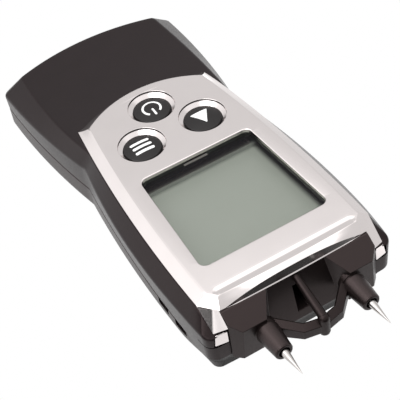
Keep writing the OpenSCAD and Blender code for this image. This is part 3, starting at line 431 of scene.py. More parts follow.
def top_half(all_in, front_in):
    """Half outline of the handle's panel and the silver cover's seat."""
    end = (PANEL_END_Y + all_in, PANEL_END_R, PANEL_CORNER_R)
    return case_half(end, narrowed(PANEL, all_in), narrowed(SILVER, all_in), FRONT_Y - front_in)


def silver_half(side_in, end_in, front, corner):
    """Right half of the silver cover's outline, with a straight cut across the front corner."""
    ec = (0.0, SILVER_END_Y + SILVER_END_R)
    sc = (SILVER[0] - side_in - SILVER[2], SILVER[1])
    fc = (0.0, front - FRONT_R)
    tip = (0.0, SILVER_END_Y + end_in)

    def side_point(y):
        return sc[0] + math.sqrt(SILVER[2] ** 2 - (y - sc[1]) ** 2), y

    def front_point(x):
        return x, fc[1] + math.sqrt(FRONT_R ** 2 - x * x)

    back = cross(ec, SILVER_END_R - end_in, sc, SILVER[2], behind)
    fa = side_point(LEG_Y)
    fb = front_point(side_point(front)[0] - corner)
    pts = [tip]
    pts += arc(ec, tip, back, STEPS["end"] * 2)
    pts += arc(sc, back, fa, STEPS["display"] + STEPS["handle"])
    pts += between(fa, fb, STEPS["corner"])
    pts += arc(fc, fb, (0.0, front), STEPS["front"])
    return pts


def mirrored(half):
    """Closed ring from a half outline in space."""
    return list(half) + [(-p[0],) + tuple(p[1:]) for p in half[-2:0:-1]]


def table(x, rows):
    """Straight-line look-up in rows of (x, value)."""
    if x <= rows[0][0]:
        return rows[0][1]
    for (x0, v0), (x1, v1) in zip(rows, rows[1:]):
        if x <= x1:
            return v0 + (v1 - v0) * (x - x0) / (x1 - x0)
    return rows[-1][1]


def ease(x, low, high):
    """Soft step from 0 at low to 1 at high."""
    t = min(max((x - low) / (high - low), 0.0), 1.0)
    return t * t * (3 - 2 * t)


def bevel_z(y):
    return table(y, BEVEL_Z)


def panel_z(y):
    """Height of the handle's panel, which rises along an arc to the cover's seat."""
    run = max(0.0, y - PANEL_LOW_Y)
    return min(SEAT_Z, PANEL_LOW_Z + PANEL_R - math.sqrt(PANEL_R * PANEL_R - run * run))


def crown_z(y):
    """Top edge of the upper shell, a gap under the silver cover."""
    slope_z = table(y, ((LEG_Y, SEAT_Z), LEG_OUTER[1:]))
    gap = COVER_GAP * ease(y, WAIST_Y - COVER_GAP_RUN, WAIST_Y + COVER_GAP_RUN)
    return min(panel_z(y), slope_z) - gap


def lift(half, z):
    """Half outline in space: z is a number or a function of y."""
    return [(x, y, z(y) if callable(z) else z) for x, y in half]


def mix(p, q, t):
    return tuple(a + (b - a) * t for a, b in zip(p, q))


def between(p, q, steps):
    """Points after p up to q on the straight line."""
    return [mix(p, q, i / steps) for i in range(1, steps + 1)]


def toward(p, q, dist, most=0.49, least=1e-9):
    """Point at a distance from p on the way to q, at most about halfway."""
    d = math.dist(p, q)
    return mix(p, q, min(dist / d, most)) if d > least else p


def fillet(low, edge, high, dist):
    """Rings that round the edge ring between its neighbours."""
    rings = []
    for i in range(STEPS["round"] + 1):
        t = i / STEPS["round"]
        ring = []
        for a, e, b in zip(low, edge, high):
            p, q = toward(e, a, dist), toward(e, b, dist)
            ring.append(mix(mix(p, e, t), mix(e, q, t), t))
        rings.append(ring)
    return rings


def rounded(points, r, steps=8):
    """Closed outline with rounded corners, from points given anticlockwise."""
    out = []
    n = len(points)
    for i in range(n):
        p = Vector(points[i])
        u = (Vector(points[i - 1]) - p).normalized()
        v = (Vector(points[(i + 1) % n]) - p).normalized()
        half = math.acos(max(-1.0, min(1.0, u.dot(v)))) / 2
        c = p + (u + v).normalized() * (r / math.sin(half))
        s = p + u * (r / math.tan(half))
        a = math.atan2(s.y - c.y, s.x - c.x)
        turn = math.pi - 2 * half
        for k in range(steps + 1):
            t = a + turn * k / steps
            out.append((c.x + r * math.cos(t), c.y + r * math.sin(t)))
    return out


def plate(w, y0, y1, r):
    return rounded([(-w / 2, y0), (w / 2, y0), (w / 2, y1), (-w / 2, y1)], r)


def window(grow):
    corners = [
        (-WINDOW_X[0] - grow, WINDOW_Y[0] - grow),
        (WINDOW_X[0] + grow, WINDOW_Y[0] - grow),
        (WINDOW_X[1] + grow, WINDOW_Y[1] + grow),
        (-WINDOW_X[1] - grow, WINDOW_Y[1] + grow),
    ]
    return rounded(corners, max(WINDOW_R + grow, WINDOW_LEAST_R))


# Meshes

def link(name, bm):
    mesh = bpy.data.meshes.new(name)
    bmesh.ops.recalc_face_normals(bm, faces=bm.faces)
    bm.to_mesh(mesh)
    bm.free()
    obj = bpy.data.objects.new(name, mesh)
    bpy.context.scene.collection.objects.link(obj)
    return obj


def skin(bm, rings):
    """Quads between rings of as many points."""
    n = len(rings[0])
    for low, high in zip(rings, rings[1:]):
        for i in range(n):
            j = (i + 1) % n
            bm.faces.new((low[i], low[j], high[j], high[i]))


def stack(name, rings, strips=False):
    """Closed solid through rings of as many points, given in millimetres from the lowest up."""
    bm = bmesh.new()
    levels = [[bm.verts.new([c * MM for c in p]) for p in ring] for ring in rings]
    skin(bm, levels)
    n = len(rings[0])
    for level in (levels[0], levels[-1]):
        if not strips:
            bm.faces.new(level)
            continue
        for i in range(n // 2):
            quad = [level[i], level[i + 1], level[(n - i - 1) % n], level[(n - i) % n]]
            bm.faces.new(list(dict.fromkeys(quad)))
    return link(name, bm)


def shell_stack(name, halves):
    return stack(name, [mirrored(half) for half in halves], strips=True)


def prism(name, outline, z0, z1):
    return stack(name, [[(x, y, z) for x, y in outline] for z in (z0, z1)])


def profile_x(name, outline, half):
    """Prism along X over an outline of (y, z) points."""
    return stack(name, [[(x, y, z) for y, z in outline] for x in (-half, half)])


def block(name, low, high):
    outline = [(low[0], low[1]), (high[0], low[1]), (high[0], high[1]), (low[0], high[1])]
    return prism(name, outline, low[2], high[2])


def turned(name, profile, at, axis="z", segments=64, least_r=1e-4):
    """Solid of revolution from (radius, height) points about an axis through a point."""
    rings = []
    for r, h in profile:
        ring = []
        for k in range(segments):
            a = 2 * math.pi * k / segments
            c, s = max(r, least_r) * math.cos(a), max(r, least_r) * math.sin(a)
            p = (c, s, h) if axis == "z" else (c, h, s)
            ring.append((at[0] + p[0], at[1] + p[1], at[2] + p[2]))
        rings.append(ring)
    return stack(name, rings)


def tapered(name, ends, radii, segments=32):
    """Round bar between two points in space."""
    p, q = (Vector(end) for end in ends)
    turn = (q - p).to_track_quat("Z", "Y").to_matrix()
    rings = []
    for c, r in zip((p, q), radii):
        ring = []
        for k in range(segments):
            a = 2 * math.pi * k / segments
            ring.append(tuple(c + turn @ Vector((r * math.cos(a), r * math.sin(a), 0.0))))
        rings.append(ring)
    return stack(name, rings)


def swept(name, path, section):
    """Bar along (x, y, z, extra depth) points, with a section of (across, up) points and mitred bends."""
    bm = bmesh.new()
    rings = []
    last = len(path) - 1
    spots = [Vector(p[:3]) for p in path]
    for i, p in enumerate(spots):
        a = (spots[i + 1] - p) if i < last else (p - spots[i - 1])
        b = (p - spots[i - 1]) if i else a
        na = Vector((a.y, -a.x, 0.0)).normalized()
        nb = Vector((b.y, -b.x, 0.0)).normalized()
        n = (na + nb) / (1 + na.dot(nb))
        ring = []
        for across, up in section:
            q = p + n * across + Vector((0.0, 0.0, up - path[i][3] * (up < 0)))
            ring.append(bm.verts.new(q * MM))
        rings.append(ring)
    skin(bm, rings)
    bm.faces.new(rings[0])
    bm.faces.new(rings[-1])
    return link(name, bm)


def drop(obj):
    mesh = obj.data
    bpy.data.objects.remove(obj)
    bpy.data.meshes.remove(mesh)


def bake(obj):
    """Turns the object's modifiers into plain mesh."""
    bpy.context.view_layer.update()
    graph = bpy.context.evaluated_depsgraph_get()
    old = obj.data
    mesh = bpy.data.meshes.new_from_object(obj.evaluated_get(graph))
    obj.modifiers.clear()
    obj.data = mesh
    mesh.name = obj.name
    bpy.data.meshes.remove(old)


def carve(obj, tools, operation="DIFFERENCE"):
    for tool in tools:
        mod = obj.modifiers.new("carve", "BOOLEAN")
        mod.operation = operation
        mod.solver = "EXACT"
        mod.object = tool
        bake(obj)
        drop(tool)
    return obj


def soften(obj, width, segments=2, angle=30):
    mod = obj.modifiers.new("soften", "BEVEL")
    mod.width = width * MM
    mod.segments = segments
    mod.limit_method = "ANGLE"
    mod.angle_limit = math.radians(angle)
    mod.harden_normals = False
    bake(obj)
    return obj


def smooth(obj, angle=35, weight=80, weld=1e-8):
    """Smooth shading with sharp edges over an angle and normals led by the large faces."""
    bm = bmesh.new()
    bm.from_mesh(obj.data)
    bmesh.ops.remove_doubles(bm, verts=bm.verts, dist=weld)
    for f in bm.faces:
        f.smooth = True
    for e in bm.edges:
        e.smooth = len(e.link_faces) == 2 and e.calc_face_angle(0.0) < math.radians(angle)
    bm.to_mesh(obj.data)
    bm.free()
    mod = obj.modifiers.new("normals", "WEIGHTED_NORMAL")
    mod.keep_sharp = True
    mod.weight = weight
    bake(obj)
    return obj


def join(name, objs):
    bm = bmesh.new()
    for o in objs:
        bm.from_mesh(o.data)
    for o in objs:
        drop(o)
    return link(name, bm)


# Shader nodes

def new_material(name):
    mat = bpy.data.materials.new(name)
    mat.use_nodes = True
    tree = mat.node_tree
    return mat, tree, tree.nodes["Principled BSDF"]


def solid(colour):
    return tuple(colour) + (1.0,)


def noise(tree, scale, detail=2.0, rough=0.5):
    coords = tree.nodes.new("ShaderNodeTexCoord")
    tex = tree.nodes.new("ShaderNodeTexNoise")
    tex.inputs["Scale"].default_value = scale
    tex.inputs["Detail"].default_value = detail
    tex.inputs["Roughness"].default_value = rough
    tree.links.new(coords.outputs["Object"], tex.inputs["Vector"])
    return tex.outputs["Fac"]


def axes(tree, vector):
    """The X, Y and Z of a vector socket."""
    split = tree.nodes.new("ShaderNodeSeparateXYZ")
    tree.links.new(vector, split.inputs["Vector"])
    return split.outputs["X"], split.outputs["Y"], split.outputs["Z"]


def place(tree, kind):
    """The X, Y and Z of a texture coordinate."""
    return axes(tree, tree.nodes.new("ShaderNodeTexCoord").outputs[kind])


def maths(tree, kind, *values):
    """Math node over numbers and sockets."""
    node = tree.nodes.new("ShaderNodeMath")
    node.operation = kind
    for socket, value in zip(node.inputs, values):
        if isinstance(value, float):
            socket.default_value = value
        else:
            tree.links.new(value, socket)
    return node.outputs["Value"]


def fade(tree, value, limits, low=0.0, high=1.0, kind="LINEAR"):
    """Goes from low to high while the value passes the limits."""
    node = tree.nodes.new("ShaderNodeMapRange")
    node.interpolation_type = kind
    node.inputs["From Min"].default_value = limits[0]
    node.inputs["From Max"].default_value = limits[1]
    node.inputs["To Min"].default_value = low
    node.inputs["To Max"].default_value = high
    tree.links.new(value, node.inputs["Value"])
    return node.outputs["Result"]


def soft_fade(tree, value, limits):
    return fade(tree, value, limits, kind="SMOOTHSTEP")


NOISE_LIMITS = (0.3, 0.7)
PATCH_SCALE = 220.0
PATCH_DETAIL = 3.0
LEAST_ROUGH = 0.02
GRAIN_STRENGTH = 0.5


def ramp(tree, value, low, high):
    node = tree.nodes.new("ShaderNodeValToRGB")
    for element, position, colour in zip(node.color_ramp.elements, NOISE_LIMITS, (low, high)):
        element.position = position
        element.color = solid(colour)
    tree.links.new(value, node.inputs["Fac"])
    return node.outputs["Color"]


def bump(tree, bsdf, value, strength, distance):
    node = tree.nodes.new("ShaderNodeBump")
    node.inputs["Strength"].default_value = strength
    node.inputs["Distance"].default_value = distance * MM
    tree.links.new(value, node.inputs["Height"])
    tree.links.new(node.outputs["Normal"], bsdf.inputs["Normal"])


# Materials

def surface(name, base, rough, metal=0.0, vary=0.12, grain=3000.0, relief=0.0, spread=0.05, specular=0.5,
            tint=(1.0, 1.0, 1.0)):
    """Procedural finish: colour and roughness vary with noise, and a fine grain gives relief."""
    mat, tree, bsdf = new_material(name)
    patches = noise(tree, PATCH_SCALE, PATCH_DETAIL)
    fine = noise(tree, grain)
    low = [c * (1 - vary) for c in base]
    high = [min(c * (1 + vary), 1.0) for c in base]
    tree.links.new(ramp(tree, patches, low, high), bsdf.inputs["Base Color"])
    rough_fade = fade(tree, fine, NOISE_LIMITS, max(rough - spread, LEAST_ROUGH), rough + spread)
    tree.links.new(rough_fade, bsdf.inputs["Roughness"])
    bsdf.inputs["Metallic"].default_value = metal
    bsdf.inputs["Specular IOR Level"].default_value = specular
    bsdf.inputs["Specular Tint"].default_value = solid(tint)
    if relief > 0:
        bump(tree, bsdf, fine, GRAIN_STRENGTH, relief)
    return mat


def painted_shade_below(mat, limits, low):
    """Painted shade: weakens the reflection of faces that look down, fully where the normal's z is at the
    first limit or under it, as if they lay in shade.
    """
    tree = mat.node_tree
    shine = tree.nodes["Principled BSDF"].inputs["Specular IOR Level"]
    geometry = tree.nodes.new("ShaderNodeNewGeometry")
    upward = axes(tree, geometry.outputs["Normal"])[2]
    tree.links.new(fade(tree, upward, limits, low, shine.default_value), shine)
    return mat


WARM = (1.0, 0.78, 0.77)
BLOCK_TONE = (0.006, 0.0042, 0.004)

upper_black = surface("upper_black", (0.0055, 0.0035, 0.0042), 0.34, relief=0.02, specular=0.29, tint=WARM)
lower_black = surface("lower_black", (0.006, 0.0045, 0.0045), 0.36, relief=0.02, specular=0.5, tint=WARM)
# Painted shade: the lower shell's downward faces reflect less, as if in the shade under the case
painted_shade_below(lower_black, limits=(-0.3, -0.16), low=0.03)
block_black = surface("block_black", BLOCK_TONE, 0.38, relief=0.02, specular=0.6, tint=WARM)
# Painted shade: the pin block's upright and downward faces reflect less, as if in shade
painted_shade_below(block_black, limits=(0.1, 0.4), low=0.36)
# Painted shade: the block's finish again, reflecting less, so that the guard bow, its post and the rib
# look shaded
bow_shaded_black = surface("bow_shaded_black", BLOCK_TONE, 0.38, relief=0.02, specular=0.32, tint=WARM)
key_black = surface("key_black", (0.006, 0.004, 0.004), 0.38, relief=0.01, specular=0.4)
tab_grey = surface("tab_grey", (0.16, 0.15, 0.14), 0.4)
frame_black = surface("frame_black", (0.008, 0.007, 0.008), 0.35)
silver = surface("silver", (0.80, 0.745, 0.735), 0.12, metal=1.0, vary=0.012, spread=0.02)
steel = surface("steel", (0.50, 0.475, 0.46), 0.18, metal=1.0, vary=0.03, grain=1500.0)
white_print = surface("white_print", (0.90, 0.90, 0.89), 0.5, vary=0.02)
bronze = surface("bronze", (0.60, 0.45, 0.20), 0.28, metal=1.0)
nickel = surface("nickel", (0.66, 0.65, 0.63), 0.25, metal=1.0)
zinc = surface("zinc", (0.40, 0.40, 0.42), 0.34, metal=1.0)
board_green = surface("board_green", (0.02, 0.13, 0.06), 0.4, vary=0.2)
chip_black = surface("chip_black", (0.015, 0.015, 0.016), 0.5)
switch_grey = surface("switch_grey", (0.03, 0.03, 0.033), 0.5)
ivory = surface("ivory", (0.62, 0.57, 0.47), 0.5)
strip_pink = surface("strip_pink", (0.45, 0.25, 0.27), 0.6, vary=0.25)
cell_gold = surface("cell_gold", (0.55, 0.40, 0.14), 0.32, metal=0.8)


def lens_material(tones, rough, alpha, grain):
    mat, tree, bsdf = new_material("lens_clear")
    fine = noise(tree, grain)
    tree.links.new(ramp(tree, fine, *tones), bsdf.inputs["Base Color"])
    tree.links.new(fade(tree, fine, NOISE_LIMITS, *rough), bsdf.inputs["Roughness"])
    bsdf.inputs["Alpha"].default_value = alpha
    return mat


def display_material(rough, glow):
    """Grey-green display that glows with its own colour as painted light, with painted shade along the
    window's two visible walls where they shade it.
    """
    mat, tree, bsdf = new_material("display_grey")
    tone = ramp(tree, noise(tree, PATCH_SCALE, PATCH_DETAIL), *DISPLAY_TONE)
    x, y, _ = place(tree, "Object")
    across = maths(tree, "MULTIPLY_ADD", y, SHADE_TAPER, x)
    # Painted shade: the display darkens towards the two walls that shade it
    lit = maths(tree, "MULTIPLY", soft_fade(tree, y, SHADE_Y), soft_fade(tree, across, SHADE_X))
    blend = tree.nodes.new("ShaderNodeMixRGB")
    blend.inputs["Color1"].default_value = solid(DISPLAY_PAINTED_SHADE)
    tree.links.new(lit, blend.inputs["Fac"])
    tree.links.new(tone, blend.inputs["Color2"])
    for name in ("Base Color", "Emission Color"):
        tree.links.new(blend.outputs["Color"], bsdf.inputs[name])
    # Painted light: the display glows with its own colour, though no lamp lights it
    bsdf.inputs["Emission Strength"].default_value = glow
    bsdf.inputs["Roughness"].default_value = rough
    return mat


lens_clear = lens_material(LENS_TONE, rough=(0.03, 0.06), alpha=0.08, grain=600.0)
display_grey = display_material(rough=0.38, glow=1.0)


def finish_piece(obj, mat, body, replaced):
    obj.data.materials.clear()
    obj.data.materials.append(mat)
    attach(obj, body)
    for name in replaced:
        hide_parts(name)
    return obj


# Upper shell

def upper_shell():
    foot = lift(joint_half(SEAM_IN, SEAM_IN), PART_Z)
    low = lift(joint_half(0.0, 0.0), PART_Z + SEAM_H)
    edge = lift(body_half(0.0, 0.0, 0.0, 0.0, EDGE_CORNER_R), bevel_z)
    crown = lift(top_half(0.0, CROWN_FRONT_IN), crown_z)
    inner = lift(top_half(CROWN_W, CROWN_FRONT_IN + CROWN_W), crown_z)
    rings = [foot, low]
    rings += fillet(low, edge, crown, EDGE_ROUND)
    rings += fillet(edge, crown, inner, CROWN_ROUND)
    rings += [inner]
    shell = shell_stack("upper_shell_skin", rings)
    cavity = [
        lift(joint_half(WALL, CAVITY_FRONT_IN), PART_Z - PAST),
        lift(body_half(WALL, WALL, WALL, CAVITY_FRONT_IN), lambda y: bevel_z(y) - SLOPE_WALL),
        lift(top_half(CAVITY_TOP_IN, CAVITY_FRONT_IN), lambda y: panel_z(y) - CAVITY_TOP_DROP),
    ]
    tools = [
        shell_stack("t_cavity", cavity),
        block("t_mouth", (-MOUTH_X, MOUTH_BACK_Y, PART_Z - PAST), (MOUTH_X, FRONT_Y + PAST, TOP_Z)),
        prism("t_lens", plate(*LENS_SEAT), *SEAT_CUT_Z),
    ]
    for x, y in KEYS.values():
        tools.append(turned("t_key", [(KEY_HOLE_R, z) for z in SEAT_CUT_Z], (x, y, 0.0), segments=32))
    for s in (-1, 1):
        tools.append(trim("t_seat", s, TRIM_GAP))
        tools.append(corner_groove(s))
    return smooth(carve(shell, tools))


def trim(name, s, gap):
    """Silver block at a front corner, or with a gap the seat for it."""
    mid = [sum(c) / len(TRIM_FACE) for c in zip(*TRIM_FACE)]
    rings = []
    for back in (True, False):
        ring = []
        for x, y, z in TRIM_FACE:
            x += math.copysign(gap, x - mid[0])
            z += math.copysign(gap, z - mid[2])
            if back and z > mid[2]:
                z -= TRIM_FALL
            ring.append((s * x, TRIM_BACK_Y - gap if back else y + TRIM_SEAT_REACH * gap, z))
        rings.append(ring)
    return stack(name, rings)


def corner_groove(s):
    """Thin cut round a front corner under its trim."""
    share = (GROOVE_Z[0] - PART_Z) / (BEVEL_Z[-1][1] - PART_Z)
    upper = body_half(0.0, 0.0, 0.0, 0.0, EDGE_CORNER_R)
    wall = [mix(p, q, share) for p, q in zip(joint_half(0.0, 0.0), upper)]
    path = [p for p in wall if p[0] > GROOVE_FROM[0] and p[1] > GROOVE_FROM[1]]
    outer, inner = [], []
    for i, (x, y) in enumerate(path):
        a, b = path[max(i - 1, 0)], path[min(i + 1, len(path) - 1)]
        d = math.dist(a, b)
        nx, ny = (b[1] - a[1]) / d, (a[0] - b[0]) / d
        outer.append((s * (x + nx * PAST), y + ny * PAST))
        inner.append((s * (x - nx * GROOVE_IN), y - ny * GROOVE_IN))
    return prism("t_groove", outer + inner[::-1], *GROOVE_Z)


# Lower shell

def side_x(y):
    run = y - JOINT[1]
    return JOINT[0] - JOINT[2] + math.sqrt(JOINT[2] ** 2 - run * run)


def lip_half(all_in, drawn_in):
    """Outline of the lower shell, drawn in at the front and, towards it, at the sides."""
    half = joint_half(all_in, drawn_in["front"] + all_in, LOWER_CORNER_R)
    return [(x - drawn_in["side"] * ease(y, *PINCH_Y) * min(1.0, x / PINCH_X), y) for x, y in half]


def ground_half(more):
    end_in, display_in, front_in = (GROUND_IN[key] + more for key in ("end", "display", "front"))
    return body_half(end_in, end_in, display_in, front_in, GROUND_CORNER_R)


def foot_z(y):
    return table(y, FOOT_Z)


def brim_z(y):
    return PART_Z - SEAM_H - BRIM_DROP * ease(y, *BRIM_DROP_Y)


def lower_shell():
    under = lift(ground_half(UNDER_IN), 0.0)
    ground = lift(ground_half(0.0), 0.0)
    foot = lift(lip_half(0.0, FOOT_IN), foot_z)
    brim = lift(lip_half(0.0, BRIM_IN), brim_z)
    rings = [under]
    rings += fillet(under, ground, foot, GROUND_ROUND)
    rings += fillet(ground, foot, brim, FOOT_ROUND)
    rings += [brim, lift(lip_half(SEAM_IN, LIP_IN), PART_Z - LIP_GAP)]
    shell = shell_stack("lower_shell_skin", rings)
    cavity = [
        lift(ground_half(WALL), WALL),
        lift(lip_half(WALL, FOOT_IN), lambda y: foot_z(y) + SLOPE_WALL),
        lift(lip_half(WALL, BRIM_IN), PART_Z + PAST),
    ]
    carve(shell, [shell_stack("t_cavity", cavity)])
    carve(shell, bay_walls() + screw_bosses(), "UNION")
    tools = [
        block("t_bay", (-BAY_X, END_Y - PAST, -PAST), (BAY_X, COVER_Y, WALL)),
        block("t_rail", (-RAIL_X, END_Y - PAST, RAIL_Z), (RAIL_X, COVER_Y, WALL)),
    ]
    for x, y in CASE_SCREWS:
        tools.append(turned("t_head", [(HEAD_R, -PAST), (HEAD_R, HEAD_Z)], (x, y, 0.0), segments=40))
        tools.append(turned("t_bore", [(BORE_R, 0.0), (BORE_R, BORE_Z)], (x, y, 0.0), segments=32))
    return smooth(carve(shell, tools + latch_notches()))


def bay_walls():
    """Four walls round the cells."""
    low, high = WALL - OVERLAP, PART_Z
    walls = []
    for s in (-1, 1):
        x0, x1 = sorted((s * BAY_X, s * (BAY_X + BAY_WALL)))
        walls.append(block("t_wall", (x0, BAY_Y[0], low), (x1, BAY_Y[1] + BAY_WALL, high)))
    for y in BAY_Y:
        walls.append(block("t_wall", (-BAY_X - OVERLAP, y, low), (BAY_X + OVERLAP, y + BAY_WALL, high)))
    return walls


def screw_bosses():
    profile = [(BOSS_R, WALL - OVERLAP), (BOSS_R, PART_Z - OVERLAP)]
    return [turned("t_boss", profile, (x, y, 0.0), segments=32) for x, y in CASE_SCREWS]


def latch_notches():
    notches = []
    for s in (-1, 1):
        for y in NOTCH_Y:
            x0, x1 = sorted((s * (side_x(y) - NOTCH_IN), s * (side_x(y) + PAST)))
            low, high = (x0, y - NOTCH_HALF, PART_Z - NOTCH_H), (x1, y + NOTCH_HALF, PART_Z - OVERLAP)
            notches.append(block("t_notch", low, high))
    return notches


# Silver cover

def bezel():
    foot = leg_ring(silver_half(0.0, 0.0, BROW_Y + FLANGE, CORNER_W))
    inner = silver_half(RIM_W + INNER_IN, RIM_END_W + INNER_IN, NOSE_Y - INNER_IN, INNER_CORNER_W)
    inner = lift(inner, TOP_Z)
    rings = [foot]
    rings += [rim(t) for t in RIM_SHARES]
    rings += fillet(rim(RIM_LAST_SHARE), rim(1.0), inner, RIM_ROUND)
    rings += [inner]
    cover = shell_stack("bezel_skin", rings)
    tools = [
        prism("t_under", window(WINDOW_UNDERCUT), CUT_FOOT_Z, SKIN_Z),
        stack("t_window", window_rings()),
        stack("t_scoop", scoop_rings()),
        block("t_mouth", (-MOUTH_X, COVER_MOUTH_Y, CUT_FOOT_Z), (MOUTH_X, FRONT_Y + PAST, BROW_Z)),
    ]
    for x, y in KEYS.values():
        tools.append(turned("t_dish", dish_profile(), (x, y, 0.0), segments=96))
    return smooth(carve(cover, tools), angle=25)


def rim(t):
    """Ring of the cover's rim: t up to 0.5 is the upright edge, from there on the slope to the top."""
    rise, run = min(1.0, 2 * t), max(0.0, 2 * t - 1)
    flange = FLANGE * max(0.0, 1 - rise / FLANGE_SHARE)
    front = BROW_Y - FACE_LEAN * rise - (BROW_Y - FACE_LEAN - NOSE_Y) * run
    half = silver_half(RIM_W * run, RIM_END_W * run, front + flange, CORNER_W - CORNER_LOSS * run)
    out = []
    for x, y in half:
        on_nose = ease(y, *NOSE_START_Y)
        low = panel_z(y) - (SEAT_Z - BROW_Z) * ease(y, *BROW_DROP_Y)
        skirt = max(0.0, SEAT_Z - low) * ease(abs(x), *SKIRT_X) * (1 - on_nose)
        edge = low + (EDGE_H + skirt + (TOP_Z - low - 2 * EDGE_H) * brow_share(x) * on_nose) * rise
        upright = FACE_LEAN * rise * (1 - run) * (1 - brow_share(x))
        ledge = flange * ease(abs(x), *FLANGE_END_X)
        out.append((x, y + (upright - ledge) * on_nose, edge + (TOP_Z - edge) * run))
    return out


def leg_ring(half):
    """Lower edge of the cover: along the sides, down the outer edge of a leg and across its foot."""
    side = [(x, y, panel_z(y)) for x, y in half[:-STEPS["corner"] - STEPS["front"]]]
    turn = round(STEPS["corner"] * LEG_SHARE)
    leg = between(side[-1], LEG_OUTER, turn) + between(LEG_OUTER, LEG_INNER, STEPS["corner"] - turn)
    return side + leg + between(LEG_INNER, (0.0, FRONT_Y, LEG_INNER[2]), STEPS["front"])


def brow_share(x):
    """Share of the brow's height that is upright, tallest in the middle."""
    return max(0.0, 1 - abs(x / BROW_FACE_X) ** BROW_POWER)


def window_rings():
    """Window cutter with a rounded lip at the top."""
    rings = [[(x, y, CUT_FOOT_Z) for x, y in window(0.0)]]
    for c, s in quarter(steps=5):
        z = TOP_Z - WINDOW_LIP + WINDOW_LIP * s
        rings.append([(x, y, z) for x, y in window(WINDOW_LIP * (1 - c))])
    rings.append([(x, y, TOP_Z + PAST) for x, y in window(WINDOW_LIP)])
    return rings


def scoop_rings():
    """Long groove with round ends: a sloped back edge, and a floor that runs out to the front."""
    rings = []
    for inset, rise in SCOOP_STEPS:
        ring = []
        for x, y in plate(2 * (SCOOP_X - inset), SCOOP_Y[0] + inset, SCOOP_Y[1], SCOOP_R - inset):
            run_out = SCOOP_RUN_OUT * ease(y, SCOOP_Y[0] + SCOOP_LEVEL, SCOOP_Y[1])
            floor_z = TOP_Z - SCOOP_DEPTH * (1 - run_out)
            ring.append((x, y, floor_z + rise * SCOOP_DEPTH))
        rings.append(ring)
    return rings


def dish_profile():
    """Key opening with a sloped wall and a rounded lip at the top."""
    hole = KEY_R + KEY_GAP
    pts = [(hole, CUT_FOOT_Z), (hole, TOP_Z - RING_FOOT_DROP)]
    pts.append((RING_R - RING_DRAFT, TOP_Z - RING_WALL_DROP))
    for c, s in quarter(steps=3):
        pts.append((RING_R + RING_LIP * (1 - c), TOP_Z - RING_LIP + RING_LIP * s))
    pts.append((RING_R + RING_LIP, TOP_Z + PAST))
    return pts


# Keys

def dome_z(q):
    """Height of a key's dome at a distance from its centre."""
    return KEY_TOP_Z - DOME_R + math.sqrt(DOME_R * DOME_R - q * q)


def dome_points(r, steps, over=0.0):
    radii = [r * (1 - i / steps) for i in range(steps + 1)]
    return [(q, dome_z(q) + over) for q in radii]


def key_cap(name, x, y):
    low, high = KEY_FLANGE_Z
    pts = [(0.0, low), (KEY_FLANGE_R, low), (KEY_FLANGE_R, high), (KEY_R, high)]
    pts.append((KEY_R, KEY_TOP_Z - KEY_DOME - KEY_SIDE_DROP))
    edge = KEY_R - KEY_EDGE_R
    for c, s in quarter(steps=4)[:-1]:
        pts.append((edge + KEY_EDGE_R * c, dome_z(edge) - KEY_EDGE_R + KEY_EDGE_R * s))
    pts += dome_points(edge, steps=10)
    return smooth(turned(name, pts, (x, y, 0.0), segments=72), angle=50)


def printed(name, outlines, x, y):
    """Thin print that follows a key's dome, from closed outlines given round the key's centre."""
    pts = [(PRINT_R, KEY_TOP_Z - PAST)] + dome_points(PRINT_R, steps=12, over=PRINT_T)
    parts = []
    for outline in outlines:
        moved = [(x + px, y + py) for px, py in outline]
        part = prism(name, moved, KEY_TOP_Z - PRINT_FOOT_DROP, KEY_TOP_Z + PAST)
        parts.append(carve(part, [turned("t_dome", pts, (x, y, 0.0), segments=72)], "INTERSECT"))
    return smooth(join(name, parts), angle=40)


def arc_band(r, w, a0, a1, steps=36):
    outer, inner = [], []
    for i in range(steps + 1):
        a = math.radians(a0 + (a1 - a0) * i / steps)
        outer.append(((r + w / 2) * math.cos(a), (r + w / 2) * math.sin(a)))
        inner.append(((r - w / 2) * math.cos(a), (r - w / 2) * math.sin(a)))
    return outer + inner[::-1]


def bar_outline(cx, cy, w, h):
    x0, x1, y0, y1 = cx - w / 2, cx + w / 2, cy - h / 2, cy + h / 2
    return rounded([(x0, y0), (x1, y0), (x1, y1), (x0, y1)], min(w, h) * BAR_ROUND, steps=4)


SYMBOLS = {
    "power_button": [arc_band(POWER_R, STROKE, *POWER_ARC), bar_outline(*POWER_BAR)],
    "up_button": [rounded(ARROW, ARROW_ROUND, steps=4)],
    "mode_button": [bar_outline(0.0, y, *BAR) for y in BAR_Y],
}


# Pin block and pins

